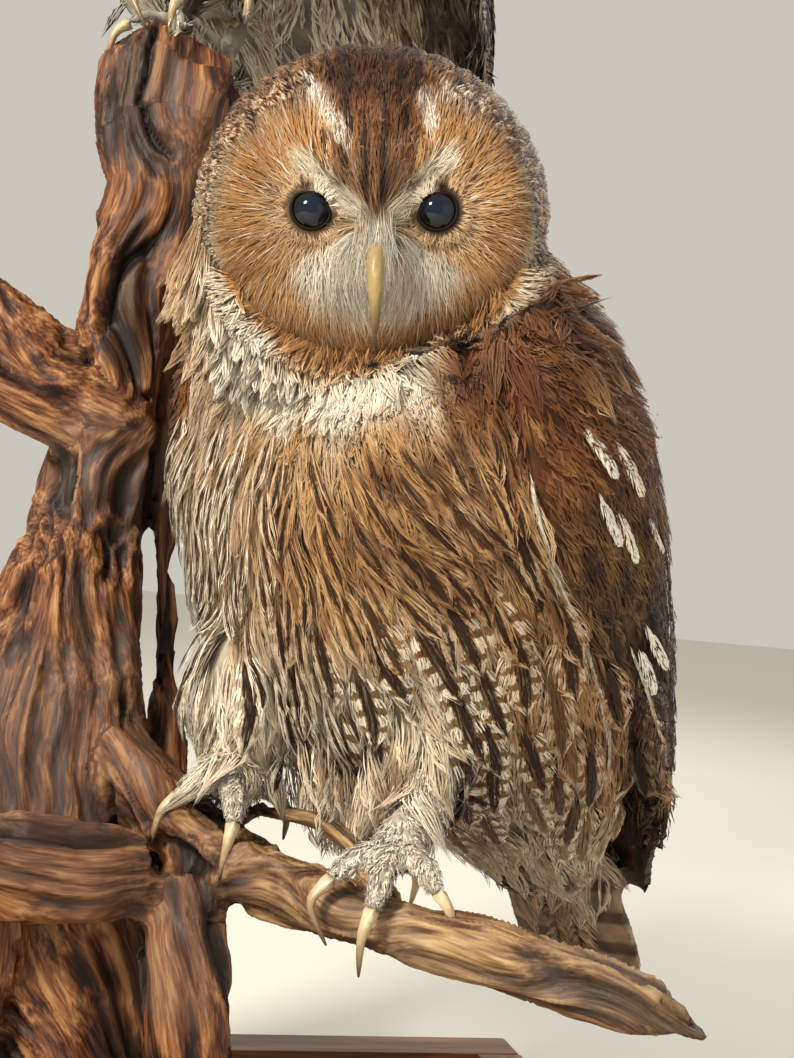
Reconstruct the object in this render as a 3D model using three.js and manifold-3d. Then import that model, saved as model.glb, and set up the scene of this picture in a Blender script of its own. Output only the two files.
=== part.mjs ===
// A mounted tawny owl on driftwood, life size, with a plainly built second owl above it and the wooden
// tray that carries both. Millimetres, +Z up. The origin is the middle of the tray's underside.
//
// The specimen, which is the birds and the wood, has its own frame: +X to its right, +Y to its back.
// Each bird's head keeps a frame centred in the skull, and its body one that leans along the back.
import * as THREE from "three";
import { mergeVertices } from "three/addons/utils/BufferGeometryUtils.js";
import Module from "manifold-3d";

const wasm = await Module();
wasm.setup();

// ---------------------------------------------------------------- driving dimensions
const TRAY = { length: 330, depth: 240, floor: 12, height: 34, rail: 20, joint: 0.3 };
const SPECIMEN = { place: [-39, 66, 0], turn: -15 };
const GAP = 0.3; // left between neighbours that touch

const HEAD = { centre: [88.7, -25, 372], roll: -6, yaw: 2.3, radius: 67, up: 63, down: 61, back: 61 };
// The facial disc, and how far its ridge, brows and rim stand out and its eye hollows sink.
const FACE = { low: -11, halfWidth: 57, halfHeight: 49, depth: 43, fall: 5, slope: 0.08 };
const RELIEF = { ridge: 8, brow: 4, hollow: 6.5, rim: 2.5 };
const EYE = { side: 21.6, up: -4.6, front: -31.5, radius: 10 };

const BODY = { place: [122, 12, 255], yaw: -34, lean: 30 };
const WING = { inner: 20, reach: 140, tuck: 3, bedSide: 9, bedBack: 5 };

const PALM_SIZE = { back: 8, front: [11, 10] };
const TOE = { root: 6.6, middle: [6.2, 6], tip: 4.6 };
const CLAW = { root: 2.9, bend: 2.1, tip: 0.7 };
const GROUND = { side: 400, depth: 60 };

const SECOND_OWL = {
  shift: [-97, 90, 306],
  stance: { left: [-16, 16, 26], right: [34, -14, -2] },
};

// How finely each form is divided: rings and sides.
const FINE = { head: [15, 26], eye: 10, bill: 6, body: 18, rings: 10, limb: 8, toe: 5, bends: 3, claw: 4 };
const PLAIN = { head: [7, 12], eye: 5, bill: 2, body: 10, rings: 6, limb: 4, toe: 4, bends: 2, claw: 3 };
const BILL_STEPS = 6;
const TAIL = { steps: 7, extraSides: 4 };
const STILL = { left: [0, 0, 0], right: [0, 0, 0] };

const RAD = Math.PI / 180;
const V = (x, y, z) => new THREE.Vector3(x, y, z);

// ---------------------------------------------------------------- shapes from rings
// A closed surface through a list of rings, each a list of points, with a point at each end.
function closedSkin(rings, first, last) {
  const count = rings[0].length;
  const points = [...rings.flat(), first, last];
  const index = [];
  for (let r = 0; r + 1 < rings.length; r++) {
    for (let i = 0; i < count; i++) {
      const a = r * count + i;
      const b = r * count + ((i + 1) % count);
      index.push(a, b, b + count, a, b + count, a + count);
    }
  }
  const end = (rings.length - 1) * count;
  for (let i = 0; i < count; i++) {
    const next = (i + 1) % count;
    index.push(rings.length * count, next, i);
    index.push(rings.length * count + 1, end + i, end + next);
  }
  const geometry = new THREE.BufferGeometry().setFromPoints(points);
  geometry.setIndex(index);
  return geometry;
}

// Smooth values at t (0 to 1) through evenly spaced rows of numbers.
function through(rows, t) {
  const at = t * (rows.length - 1);
  const i = Math.min(Math.floor(at), rows.length - 2);
  const f = at - i;
  const row = (k) => rows[Math.max(0, Math.min(rows.length - 1, k))];
  return rows[i].map((_, c) => {
    const [p, a, b, n] = [row(i - 1)[c], row(i)[c], row(i + 1)[c], row(i + 2)[c]];
    const cubic = (n - p + 3 * (a - b)) / 2;
    const square = p - (5 * a) / 2 + 2 * b - n / 2;
    return a + f * ((b - p) / 2 + f * (square + f * cubic));
  });
}

// A limb or strand: rows of [x, y, z, across, along] give its middle line and two half sizes. The first
// half size is square to both the line and the direction `depth`, the second lies along `depth`.
function strand(rows, { sides, steps, grow = 0, depth = V(0, 1, 0), ridge = () => 1 }) {
  const line = (t) => V(...through(rows, t).slice(0, 3));
  const rings = [];
  for (let s = 0; s <= steps; s++) {
    const t = s / steps;
    const ahead = line(Math.min(1, t + 0.02)).sub(line(Math.max(0, t - 0.02))).normalize();
    const across = ahead.clone().cross(depth).normalize();
    const along = across.clone().cross(ahead).normalize();
    const [, , , a, b] = through(rows, t);
    const ring = [];
    for (let i = 0; i < sides; i++) {
      const angle = (i / sides) * 2 * Math.PI;
      const swell = ridge(angle, t);
      ring.push(
        line(t)
          .addScaledVector(across, -Math.cos(angle) * (a * swell + grow))
          .addScaledVector(along, Math.sin(angle) * (b * swell + grow)),
      );
    }
    rings.push(ring);
  }
  const ends = [0, 1].map((t) => {
    const inward = line(t ? 0.96 : 0.04).sub(line(t)).normalize();
    const [, , , a, b] = through(rows, t);
    return line(t).addScaledVector(inward, -(0.35 * Math.min(a, b) + grow));
  });
  return closedSkin(rings, ends[0], ends[1]);
}

// A body form in its own leaning frame: rows of [height, middle, width, front, back], from the top down.
// Each ring is level there, `width` to each side, `front` towards -Y and `back` towards +Y.
function bodyForm(rows, sides, steps, grow = 0) {
  const rings = [];
  for (let s = 0; s <= steps; s++) {
    const [height, middle, width, front, back] = through(rows, s / steps);
    const lift = s === 0 ? grow : s === steps ? -grow : 0;
    const ring = [];
    for (let i = 0; i < sides; i++) {
      const angle = (i / sides) * 2 * Math.PI;
      const side = Math.sin(angle);
      const reach = side < 0 ? front : back;
      ring.push(V(middle - Math.cos(angle) * (width + grow), side * (reach + grow), height + lift));
    }
    rings.push(ring);
  }
  const [top, bottom] = [rows[0], rows[rows.length - 1]];
  return closedSkin(
    rings,
    V(top[1], 0, top[0] + 2 + grow),
    V(bottom[1], 0, bottom[0] - 2 - grow),
  );
}

// ---------------------------------------------------------------- solids
function solid(geometry, matrix = new THREE.Matrix4()) {
  const moved = geometry.clone().applyMatrix4(matrix);
  const merged = mergeVertices(moved, 1e-4);
  const made = new wasm.Manifold(
    new wasm.Mesh({
      numProp: 3,
      vertProperties: merged.attributes.position.array,
      triVerts: new Uint32Array(merged.index.array),
    }),
  );
  return made;
}

const joined = (solids) => solids.reduce((all, one) => all.add(one));
const cutBy = (body, cutters) => cutters.reduce((left, one) => left.subtract(one), body);

// The largest piece of a solid, so that a cut leaves no crumbs.
function whole(body) {
  const pieces = body.decompose();
  pieces.sort((a, b) => b.volume() - a.volume());
  return pieces[0];
}

function geometryOf(body) {
  const mesh = body.getMesh();
  const position = new Float32Array(mesh.numVert * 3);
  for (let i = 0; i < mesh.numVert; i++) {
    position.set(mesh.vertProperties.subarray(i * mesh.numProp, i * mesh.numProp + 3), i * 3);
  }
  const geometry = new THREE.BufferGeometry();
  geometry.setAttribute("position", new THREE.BufferAttribute(position, 3));
  geometry.setIndex(new THREE.BufferAttribute(new Uint32Array(mesh.triVerts), 1));
  return geometry;
}

// ---------------------------------------------------------------- frames of the bird
const headFrame = new THREE.Matrix4().compose(
  V(...HEAD.centre),
  new THREE.Quaternion().setFromEuler(
    new THREE.Euler(0, HEAD.roll * RAD, HEAD.yaw * RAD, "YXZ"),
  ),
  V(1, 1, 1),
);
const bodyFrame = new THREE.Matrix4().compose(
  V(...BODY.place),
  new THREE.Quaternion().setFromEuler(
    new THREE.Euler(BODY.lean * RAD, 0, BODY.yaw * RAD, "ZYX"),
  ),
  V(1, 1, 1),
);

// ---------------------------------------------------------------- head
const bump = (distance, width) => Math.exp(-((distance / width) ** 2));
const softStep = (from, to, x) => THREE.MathUtils.smoothstep(x, from, to);

// How far in front of the skull's middle the facial disc lies, at x across and z up.
function faceDepth(x, z) {
  const rim = Math.hypot(x / FACE.halfWidth, (z - FACE.low) / FACE.halfHeight);
  const disc = FACE.depth + FACE.slope * (z - FACE.low) - FACE.fall * rim * rim;
  const ridgeSpan = softStep(-40, -20, z) * (1 - softStep(12, 40, z));
  const ridge = RELIEF.ridge * bump(x, 8) * ridgeSpan;
  const browLine = Math.abs(x) - 6 - 0.75 * (z + 2);
  const brow = RELIEF.brow * bump(browLine, 7) * softStep(-2, 8, z) * (1 - softStep(18, 34, z));
  const hollow = RELIEF.hollow * bump(Math.hypot(Math.abs(x) - EYE.side, z - EYE.up), 14);
  const edge = RELIEF.rim * bump(rim - 0.98, 0.09);
  return disc + ridge + brow - hollow + edge;
}

function headForm([bands, around], grow) {
  const softMin = (a, b) => -5 * Math.log(Math.exp(-a / 5) + Math.exp(-b / 5));
  const surface = (polar, turn) => {
    const x = Math.sin(polar) * Math.cos(turn);
    const z = Math.sin(polar) * Math.sin(turn);
    const y = -Math.cos(polar);
    const R = HEAD.radius;
    const depth = y < 0 ? -softMin(R * -y + 2, faceDepth(R * x, R * z)) : HEAD.back * y;
    const join = softStep(-0.25, 0, y);
    const smooth = y < 0 ? THREE.MathUtils.lerp(depth, R * y, join) : depth;
    const rise = z > 0 ? HEAD.up : HEAD.down;
    return V((R + grow) * x, smooth + grow * Math.sign(y), (rise + grow) * z);
  };
  const rings = [];
  for (let b = 1; b < bands; b++) {
    const share = b / bands;
    const polar = Math.PI * (0.86 * share + 0.14 * share ** 3);
    const ring = [];
    for (let i = 0; i < around; i++) ring.push(surface(polar, (-i / around) * 2 * Math.PI));
    rings.push(ring);
  }
  return solid(closedSkin(rings, surface(0, 0), surface(Math.PI, 0)), headFrame);
}

function eyeForm(side, grow, segments) {
  const ball = new THREE.SphereGeometry(EYE.radius + grow, segments, Math.round(segments / 2));
  ball.rotateX(Math.PI / 2);
  ball.translate(side * EYE.side, EYE.front, EYE.up);
  for (const name of ["normal", "uv"]) ball.deleteAttribute(name);
  return solid(ball, headFrame);
}

function billForm(grow, sides) {
  const rows = [
    [0, -40, -17, 4.8, 7],
    [0, -49, -22, 4.2, 6.4],
    [0, -53.5, -29, 3.4, 5.4],
    [0, -54.5, -37, 2.6, 4],
    [0, -52.5, -44.5, 1.6, 2.4],
    [0, -49.5, -49, 0.7, 0.9],
  ];
  return solid(strand(rows, { sides, steps: BILL_STEPS, grow, depth: V(0, 1, 0.3) }), headFrame);
}

// ---------------------------------------------------------------- neck, trunk, wings and tail
// Rows of [height, middle, width, front, back] in the body's leaning frame.
const NECK_ROWS = [
  [118, -13, 61, 6, 60],
  [110, -13, 79, 12, 72],
  [98, -11, 87, 22, 75],
  [84, -7, 89, 34, 71],
  [70, -4, 84, 44, 66],
  [58, -4, 70, 48, 58],
];
const TRUNK_ROWS = [
  [104, -4, 34, 12, 32],
  [98, -4, 64, 28, 52],
  [82, -4, 86, 52, 65],
  [45, -4, 97, 77, 70],
  [0, -4, 99, 86, 70],
  [-40, -4, 97, 84, 66],
  [-75, -2, 88, 69, 60],
  [-105, 3, 72, 47, 52],
  [-132, 10, 52, 26, 41],
  [-154, 16, 35, 14, 28],
  [-168, 20, 16, 7, 12],
];
const WING_ROWS = [
  [108, -4, 40, 30, 38],
  [100, -4, 68, 48, 56],
  [80, -4, 91, 66, 71],
  [45, -4, 103, 82, 76],
  [0, -4, 104, 86, 76],
  [-40, -3, 101, 82, 72],
  [-75, 0, 93, 72, 66],
  [-105, 6, 83, 58, 59],
  [-132, 12, 70, 44, 50],
  [-160, 19, 59, 34, 42],
  [-188, 25, 50, 20, 40],
];
// The room under the wings, from the trunk down past the wing tips.
const UNDERWING_ROWS = [
  [-95, 4, 79, 62, 55],
  [-120, 9, 68, 50, 47],
  [-145, 15, 57, 40, 38],
  [-170, 21, 48, 32, 33],
  [-200, 27, 40, 26, 30],
];
// The bed that the folded wings lie in, a little inside the trunk's own surface.
const BED_ROWS = TRUNK_ROWS.map(([height, middle, width, front, back]) => [
  height,
  middle,
  width - WING.bedSide,
  front,
  back - WING.bedBack,
]);
// A folded wing seen from its side: [back, height] round its edge, from the shoulder.
const WING_OUTLINE = [
  [-6, 104],
  [-30, 86],
  [-43, 50],
  [-42, 20],
  [-20, -45],
  [-5, -80],
  [12, -130],
  [26, -178],
  [36, -186],
  [52, -168],
  [92, -90],
  [92, 108],
];

// A tail bundle is boxier than an ellipse.
const vaneRidge = (angle) => (Math.cos(angle) ** 4 + Math.sin(angle) ** 4) ** -0.25;

function tailForm(grow, sides) {
  const rows = [
    [12, 12, -118, 26, 11],
    [17, 16, -145, 28, 10],
    [21, 18, -175, 31, 8],
    [25, 18, -205, 33, 6.5],
    [27, 17, -222, 32, 5.5],
    [28, 17, -230, 22, 4],
  ];
  return solid(strand(rows, { sides, steps: TAIL.steps, grow, ridge: vaneRidge }), bodyFrame);
}


function wingForm(side, grow, detail) {
  const reach = WING.reach;
  const shape = new THREE.Shape(WING_OUTLINE.map(([y, z]) => new THREE.Vector2(y, z)));
  const slab = new THREE.ExtrudeGeometry(shape, { depth: reach, bevelEnabled: false });
  for (const name of ["normal", "uv"]) slab.deleteAttribute(name);
  const upright = new THREE.Matrix4().makeBasis(V(0, 1, 0), V(0, 0, 1), V(1, 0, 0));
  slab.applyMatrix4(upright);
  slab.translate(side > 0 ? WING.inner : -WING.inner - reach, 0, 0);
  const cover = bodyForm(WING_ROWS, detail.body, detail.rings, grow);
  cover.translate(side > 0 ? 0 : WING.tuck, 0, 0);
  return solid(cover, bodyFrame).intersect(solid(slab, bodyFrame));
}

// ---------------------------------------------------------------- legs and feet
const LEG_ROWS = {
  left: [
    [128, -14, 232, 32, 30],
    [129, -26, 196, 26, 24],
    [130, -36, 176, 17, 16],
    [130, -42, 163, 10, 10],
  ],
  right: [
    [78, 0, 235, 32, 29],
    [66, -6, 204, 27, 25],
    [59, -10, 181, 24, 20],
    [60, -12, 166, 13, 12],
  ],
};
const PALM = {
  left: { heel: [130, -43, 161], ball: [122, -56, 146], radius: [10, 9] },
  right: { heel: [62, -12, 166], ball: [57, -22, 158], radius: [10, 9] },
};
// Toes as [knuckle, claw root, claw bend, claw tip].
const TOES = {
  left: [
    [[111, -66, 148], [101, -73, 140], [92.5, -76.5, 131], [101, -79, 118]],
    [[118, -74, 146], [115.5, -83, 133.5], [112, -88, 124], [112.8, -87, 111]],
    [[130, -70, 147], [136, -76.5, 139.5], [142, -81, 133], [141.4, -81, 122]],
    [[127, -46, 146], [129, -34, 140], [131, -29, 131], [129, -31, 122]],
  ],
  right: [
    [[48, -26, 160], [41, -29, 153.5], [34.5, -32, 148], [32.4, -31, 135]],
    [[61, -34, 158], [63, -42, 149], [61.5, -47, 140], [60, -46.5, 128]],
    [[70, -14, 158], [76, -6, 152], [80, -2, 145], [79, -4, 136]],
    [[50, -10, 159], [46, 2, 155], [43, 8, 148], [44, 7, 138]],
  ],
};

function legForm(side, grow, detail) {
  return solid(strand(LEG_ROWS[side], { sides: detail.limb, steps: detail.bends, grow }));
}

function footForm(side, grow, detail) {
  const { heel, ball, radius } = PALM[side];
  const up = heel.map((value, axis) => value * 1.3 - ball[axis] * 0.3);
  const palm = strand(
    [
      [...up, PALM_SIZE.back, PALM_SIZE.back],
      [...heel, ...radius],
      [...ball, ...PALM_SIZE.front],
    ],
    { sides: detail.limb, steps: detail.bends, grow },
  );
  const toes = TOES[side].map(([knuckle, root]) =>
    strand(
      [
        [...ball, TOE.root, TOE.root],
        [...knuckle, ...TOE.middle],
        [...root, TOE.tip, TOE.tip],
      ],
      { sides: detail.toe, steps: detail.bends, grow, depth: V(0, 0.3, 1) },
    ),
  );
  return joined([palm, ...toes].map((one) => solid(one)));
}

function clawForms(side, grow, detail) {
  return TOES[side].map(([knuckle, root, bend, tip]) => {
    const start = root.map((value, axis) => value * 0.85 + knuckle[axis] * 0.15);
    const rows = [
      [...start, CLAW.root, CLAW.root],
      [...root.map((value, axis) => value * 0.6 + bend[axis] * 0.4), CLAW.root, CLAW.root],
      [...bend, CLAW.bend, CLAW.bend],
      [...tip, CLAW.tip, CLAW.tip],
    ];
    const across = V(0.95, 0.3, 0.05);
    return solid(strand(rows, { sides: detail.claw, steps: detail.bends, grow, depth: across }));
  });
}

// ---------------------------------------------------------------- one whole bird
// Every form of one owl, before the forms are cut back from each other.
function owl(detail, grow = 0, stance = STILL) {
  const standing = (form, side) => form.translate(stance[side]);
  const claws = {};
  for (const side of ["left", "right"]) {
    claws[side] = clawForms(side, grow, detail).map((claw) => standing(claw, side));
  }
  return {
    head: headForm(detail.head, grow),
    eye_left: eyeForm(1, grow, detail.eye),
    eye_right: eyeForm(-1, grow, detail.eye),
    bill: billForm(grow, detail.bill),
    neck: solid(bodyForm(NECK_ROWS, detail.body, detail.bends, grow), bodyFrame),
    trunk: solid(bodyForm(TRUNK_ROWS, detail.body, detail.rings, grow), bodyFrame),
    wing_left: wingForm(1, grow, detail),
    wing_right: wingForm(-1, grow, detail),
    tail: tailForm(grow, detail.limb + TAIL.extraSides),
    leg_left: standing(legForm("left", grow, detail), "left"),
    leg_right: standing(legForm("right", grow, detail), "right"),
    foot_left: standing(footForm("left", grow, detail), "left"),
    foot_right: standing(footForm("right", grow, detail), "right"),
    claws,
  };
}

// The forms of a bird as one list, apart from those named.
function formsOf({ claws, ...forms }, without = []) {
  const kept = Object.entries(forms).filter(([name]) => !without.includes(name));
  return [...kept.map(([, form]) => form), ...claws.left, ...claws.right];
}

// ---------------------------------------------------------------- driftwood
// Strands of [x, y, z, across, along depth], root first.
const WOOD = {
  trunk: [
    [6, -18, 12.3, 44, 32],
    [-2, -12, 70, 44, 34],
    [-12, -2, 130, 42, 34],
    [-16, 4, 180, 36, 30],
    [-12, 14, 235, 25, 24],
    [-9, 20, 290, 20, 20],
    [-9, 28, 345, 18, 19],
    [-2, 38, 388, 21, 23],
    [-4, 48, 424, 33, 30],
    [2, 54, 445, 27, 24],
  ],
  backStrand: [
    [28, 12, 140, 12, 9],
    [25, 24, 180, 7, 7],
    [15, 30, 240, 6, 6],
    [12, 34, 300, 6, 6],
    [8, 36, 350, 7, 7],
    [0, 36, 390, 9, 8],
  ],
  stub: [
    [-8, 16, 290, 18, 16],
    [-34, 10, 304, 20, 14],
    [-56, 6, 330, 11, 10],
    [-76, 2, 352, 4, 4],
  ],
  stubLow: [
    [-14, 12, 282, 14, 13],
    [-42, 2, 294, 12, 11],
    [-64, -6, 304, 7, 7],
    [-82, -12, 309, 3, 3],
  ],
  slab: [
    [30, -34, 122, 17, 16],
    [4, -50, 126, 19, 16],
    [-24, -60, 128, 20, 14],
    [-50, -66, 122, 14, 10],
  ],
  branch: [
    [-18, 4, 176, 24, 22],
    [18, -8, 152, 20, 20],
    [54, -20, 132, 16, 19],
    [88, -44, 125, 12, 17],
    [120, -66, 123, 11, 15],
    [150, -79, 121.5, 11, 14],
    [180, -91, 120, 12, 13],
    [204, -101, 117, 10, 11],
    [224, -110, 110.5, 2.5, 3],
  ],
  arch: [
    [50, -4, 138, 6, 7],
    [70, -8, 149, 5, 6],
    [92, -22, 149, 5, 5],
    [108, -36, 142, 5, 5],
    [122, -52, 127, 6, 6],
  ],
  rootFront: [
    [-18, -34, 118, 16, 14],
    [-24, -46, 66, 14, 13],
    [-44, -60, 34, 13, 12],
    [-66, -72, 18, 7, 7],
  ],
  rootRight: [
    [44, -30, 126, 17, 14],
    [52, -40, 88, 19, 15],
    [62, -50, 46, 17, 14],
    [86, -62, 21, 9, 9],
  ],
  rootLeft: [
    [-8, -4, 92, 20, 18],
    [-34, 4, 46, 15, 14],
    [-62, 8, 20, 9, 8],
  ],
  crest: [
    [-44, 2, 196, 10, 12],
    [-50, -6, 160, 13, 14],
    [-40, -18, 120, 14, 13],
    [-34, -26, 80, 12, 12],
  ],
};
const WOOD_STEPS = { trunk: 13, branch: 9 };

// Grain ridges that run along a strand and turn slowly about it.
function grain(lobes, depth, twist) {
  return (angle, t) => 1 + depth * Math.cos(lobes * angle + twist * t) + 0.5 * depth *
    Math.cos((lobes + 2) * angle - 1.7 * twist * t + 1);
}

function driftwood() {
  const strands = Object.entries(WOOD).map(([name, rows]) => {
    const main = name === "trunk";
    return solid(
      strand(rows, {
        sides: main ? 15 : 8,
        steps: WOOD_STEPS[name] ?? 4,
        ridge: main ? grain(5, 0.1, 4) : grain(3, 0.07, 2),
      }),
    );
  });
  const ground = new THREE.BoxGeometry(GROUND.side, GROUND.side, GROUND.depth);
  for (const name of ["normal", "uv"]) ground.deleteAttribute(name);
  ground.translate(0, 0, TRAY.floor + GAP - GROUND.depth / 2);
  return joined(strands).subtract(solid(ground));
}

// ---------------------------------------------------------------- the tray
function trayPieces() {
  const { length, depth, floor, height, rail, joint } = TRAY;
  const panel = new THREE.BoxGeometry(length - 2 * rail - 2 * joint, depth - 2 * rail - 2 * joint, floor);
  panel.translate(0, 0, floor / 2);
  const long = new THREE.BoxGeometry(length, rail, height);
  const short = new THREE.BoxGeometry(rail, depth - 2 * rail - 2 * joint, height);
  for (const bar of [long, short]) bar.translate(0, 0, height / 2);
  return {
    base_panel: [panel, [0, 0]],
    base_rail_back: [long, [0, (depth - rail) / 2]],
    base_rail_front: [long.clone(), [0, -(depth - rail) / 2]],
    base_rail_left: [short, [-(length - rail) / 2, 0]],
    base_rail_right: [short.clone(), [(length - rail) / 2, 0]],
  };
}

// ---------------------------------------------------------------- materials
const plain = (color, roughness) => new THREE.MeshStandardMaterial({ color, roughness, metalness: 0 });
const MATERIALS = {
  plumage: () => plain("#9a6a3c", 0.9),
  second: () => plain("#8f8578", 0.9),
  feet: () => plain("#d9c6a2", 0.9),
  horn: () => plain("#c9b48c", 0.4),
  glass: () => plain("#0d0f14", 0.05),
  wood: () => plain("#7a4a2c", 0.75),
  tray: () => plain("#6e4428", 0.6),
};

// ---------------------------------------------------------------- assembly
const part = new THREE.Group();
const specimen = new THREE.Group();
specimen.position.set(...SPECIMEN.place);
specimen.rotation.z = SPECIMEN.turn * RAD;
part.add(specimen);

function place(parent, name, geometry, material) {
  const mesh = new THREE.Mesh(geometry, MATERIALS[material]());
  mesh.name = name;
  parent.add(mesh);
  return mesh;
}

const bird = owl(FINE);
const room = owl(FINE, GAP);
const underwing = solid(bodyForm(UNDERWING_ROWS, FINE.body, 4), bodyFrame);
const bed = (grow) => solid(bodyForm(BED_ROWS, FINE.body, FINE.rings, grow), bodyFrame);
const wingRoom = [room.wing_left, room.wing_right].map((wing) => wing.subtract(bed(0)));

// The space in front of the face, which the neck and breast leave open.
const forward = V(0, -1, 0).transformDirection(headFrame);
const faceView = [12, 34].map((far) =>
  headForm(PLAIN.head, 0.5).translate(forward.clone().multiplyScalar(far).toArray()),
);

// Each form, with the neighbours that it is cut back from.
const CUTS = {
  head: [room.eye_left, room.eye_right, room.bill],
  eye_left: [],
  eye_right: [],
  bill: [],
  neck: [room.head, room.trunk, ...faceView],
  trunk: [room.head, ...faceView, ...wingRoom],
  wing_left: [bed(GAP), room.neck, room.head, underwing],
  wing_right: [bed(GAP), room.neck, room.head, underwing],
  tail: [room.trunk],
  leg_left: [room.trunk, room.wing_left],
  leg_right: [room.trunk, room.wing_right],
  foot_left: [room.leg_left, room.trunk],
  foot_right: [room.leg_right, room.trunk],
};
function finishOf(name) {
  if (name.startsWith("eye")) return "glass";
  if (name.startsWith("foot")) return "feet";
  return name === "bill" ? "horn" : "plumage";
}
for (const [name, cutters] of Object.entries(CUTS)) {
  place(specimen, name, geometryOf(whole(cutBy(bird[name], cutters))), finishOf(name));
}
for (const side of ["left", "right"]) {
  bird.claws[side].forEach((claw, i) => {
    const cut = whole(cutBy(claw, [room[`foot_${side}`]]));
    place(specimen, `claw_${side}_${i + 1}`, geometryOf(cut), "horn");
  });
}

const shiftSecond = new THREE.Matrix4().makeTranslation(...SECOND_OWL.shift);
function secondOwl(grow) {
  const forms = formsOf(owl(PLAIN, grow, SECOND_OWL.stance), ["eye_left", "eye_right"]);
  return solid(geometryOf(joined(forms)), shiftSecond);
}
place(specimen, "companion_owl", geometryOf(whole(secondOwl(0))), "second");

const wood = cutBy(driftwood(), [...formsOf(room), secondOwl(GAP)]);
place(specimen, "driftwood", geometryOf(whole(wood)), "wood");

for (const [name, [geometry, [x, y]]] of Object.entries(trayPieces())) {
  place(part, name, geometry, "tray").position.set(x, y, 0);
}

export default part;
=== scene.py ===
# %% [markdown]
# # A mounted tawny owl on driftwood
# The real object is a bird skin drawn over a filled form, with glass eyes, standing on a branch of old
# driftwood that is fixed in a wooden tray. A second, greyer owl stands above it on the same wood.
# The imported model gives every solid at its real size. This script dresses it: one skin with a coat of
# modelled feathers, eyes, horn, weathered wood and the tray, all in the model's own frame and in metres.

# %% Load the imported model
import itertools
import math
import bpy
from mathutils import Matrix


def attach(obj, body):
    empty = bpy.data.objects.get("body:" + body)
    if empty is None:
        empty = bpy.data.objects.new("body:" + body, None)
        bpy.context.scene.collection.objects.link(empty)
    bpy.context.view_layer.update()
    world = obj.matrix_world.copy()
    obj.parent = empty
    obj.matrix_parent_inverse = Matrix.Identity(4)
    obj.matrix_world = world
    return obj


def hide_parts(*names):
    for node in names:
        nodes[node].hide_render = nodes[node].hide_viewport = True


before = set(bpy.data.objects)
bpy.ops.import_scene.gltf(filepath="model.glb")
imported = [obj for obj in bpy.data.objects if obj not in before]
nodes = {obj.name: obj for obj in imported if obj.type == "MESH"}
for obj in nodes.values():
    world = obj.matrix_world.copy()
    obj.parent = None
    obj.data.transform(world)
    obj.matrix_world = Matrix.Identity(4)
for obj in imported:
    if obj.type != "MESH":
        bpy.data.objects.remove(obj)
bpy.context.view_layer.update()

from types import SimpleNamespace

import bpy
import numpy as np
from mathutils import Vector, noise
from mathutils.bvhtree import BVHTree

MM = 0.001
scene = bpy.context.scene

# %% [markdown]
# ## Three frames
# A bird's markings follow its own body, so the script keeps the same frames as the solids: the specimen
# on its tray, the head, and the body that leans along the back. In each one +X is the bird's left,
# -Y its front and +Z its top, and places in them are millimetres.

# %% Frames of the specimen, the head and the body


def turn(axis, degrees):
    """A turn about the axis 0, 1 or 2."""
    c, s = math.cos(math.radians(degrees)), math.sin(math.radians(degrees))
    one, other = (axis + 1) % 3, (axis + 2) % 3
    made = np.eye(3)
    made[one, one] = made[other, other] = c
    made[one, other], made[other, one] = -s, s
    return made


def frame_within(outer, place, turned):
    """A frame at `place` (mm) and `turned` within another one: its origin in mm and its axes."""
    origin, axes = outer
    return origin + axes @ np.array(place, float), axes @ turned


def inside(points, own):
    """Points in metres, as millimetres in a frame."""
    return (np.asarray(points) / MM - own[0]) @ own[1]


def outside(local, own):
    """Millimetres in a frame, as metres in the model's own frame."""
    return (np.asarray(local) @ own[1].T + own[0]) * MM


WORLD = (np.zeros(3), np.eye(3))
SPECIMEN = frame_within(WORLD, (-39, 66, 0), turn(2, -15))
HEAD = frame_within(SPECIMEN, (88.7, -25, 372), turn(1, -6) @ turn(2, 2.3))
BODY = frame_within(SPECIMEN, (122, 12, 255), turn(2, -34) @ turn(0, 30))
STEP_UP = np.array([-97, 90, 306])  # from the first owl to the second in the specimen's frame, mm
SECOND_SHIFT = SPECIMEN[1] @ STEP_UP

# %% [markdown]
# ## Camera, floor and light
# The camera looks level from close by, with a little roll, at the height of the bird's belly. The light
# is soft: a large key from the upper left, a wide fill from the right, and a pale surround.

# %% Camera
camera = bpy.data.objects.new("camera", bpy.data.cameras.new("camera"))
scene.collection.objects.link(camera)
scene.camera = camera
camera.data.lens = 52
camera.data.sensor_width = 36
camera.data.clip_start = 0.01
camera.location = outside((110, -590, 259), SPECIMEN)
camera.rotation_euler = (math.radians(90), math.radians(-6), math.radians(-15))
camera.rotation_mode = "XYZ"

# %% Colours and material nodes


def linear(hex_colour):
    """An sRGB hex colour as linear red, green, blue and alpha."""
    values = [int(hex_colour[i : i + 2], 16) / 255 for i in (1, 3, 5)]
    return [v / 12.92 if v <= 0.04045 else ((v + 0.055) / 1.055) ** 2.4 for v in values] + [1.0]


def add_node(tree, kind, inputs=(), stops=None, **settings):
    """Adds a shader node: its settings, the stops of a ramp, and its inputs, by name or in their order.
    An input is a value, a socket to link, or a node, which gives its first output."""
    made = tree.nodes.new("ShaderNode" + kind)
    for name, value in settings.items():
        setattr(made, name, value)
    for name, value in inputs.items() if isinstance(inputs, dict) else enumerate(inputs):
        if isinstance(value, bpy.types.Node):
            tree.links.new(value.outputs[0], made.inputs[name])
        elif isinstance(value, bpy.types.NodeSocket):
            tree.links.new(value, made.inputs[name])
        else:
            made.inputs[name].default_value = value
    if stops:
        ramp = made.color_ramp
        while len(ramp.elements) < len(stops):
            ramp.elements.new(0.5)
        for element, (place, colour) in zip(ramp.elements, stops):
            element.position = place
            element.color = linear(colour)
    return made


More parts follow.
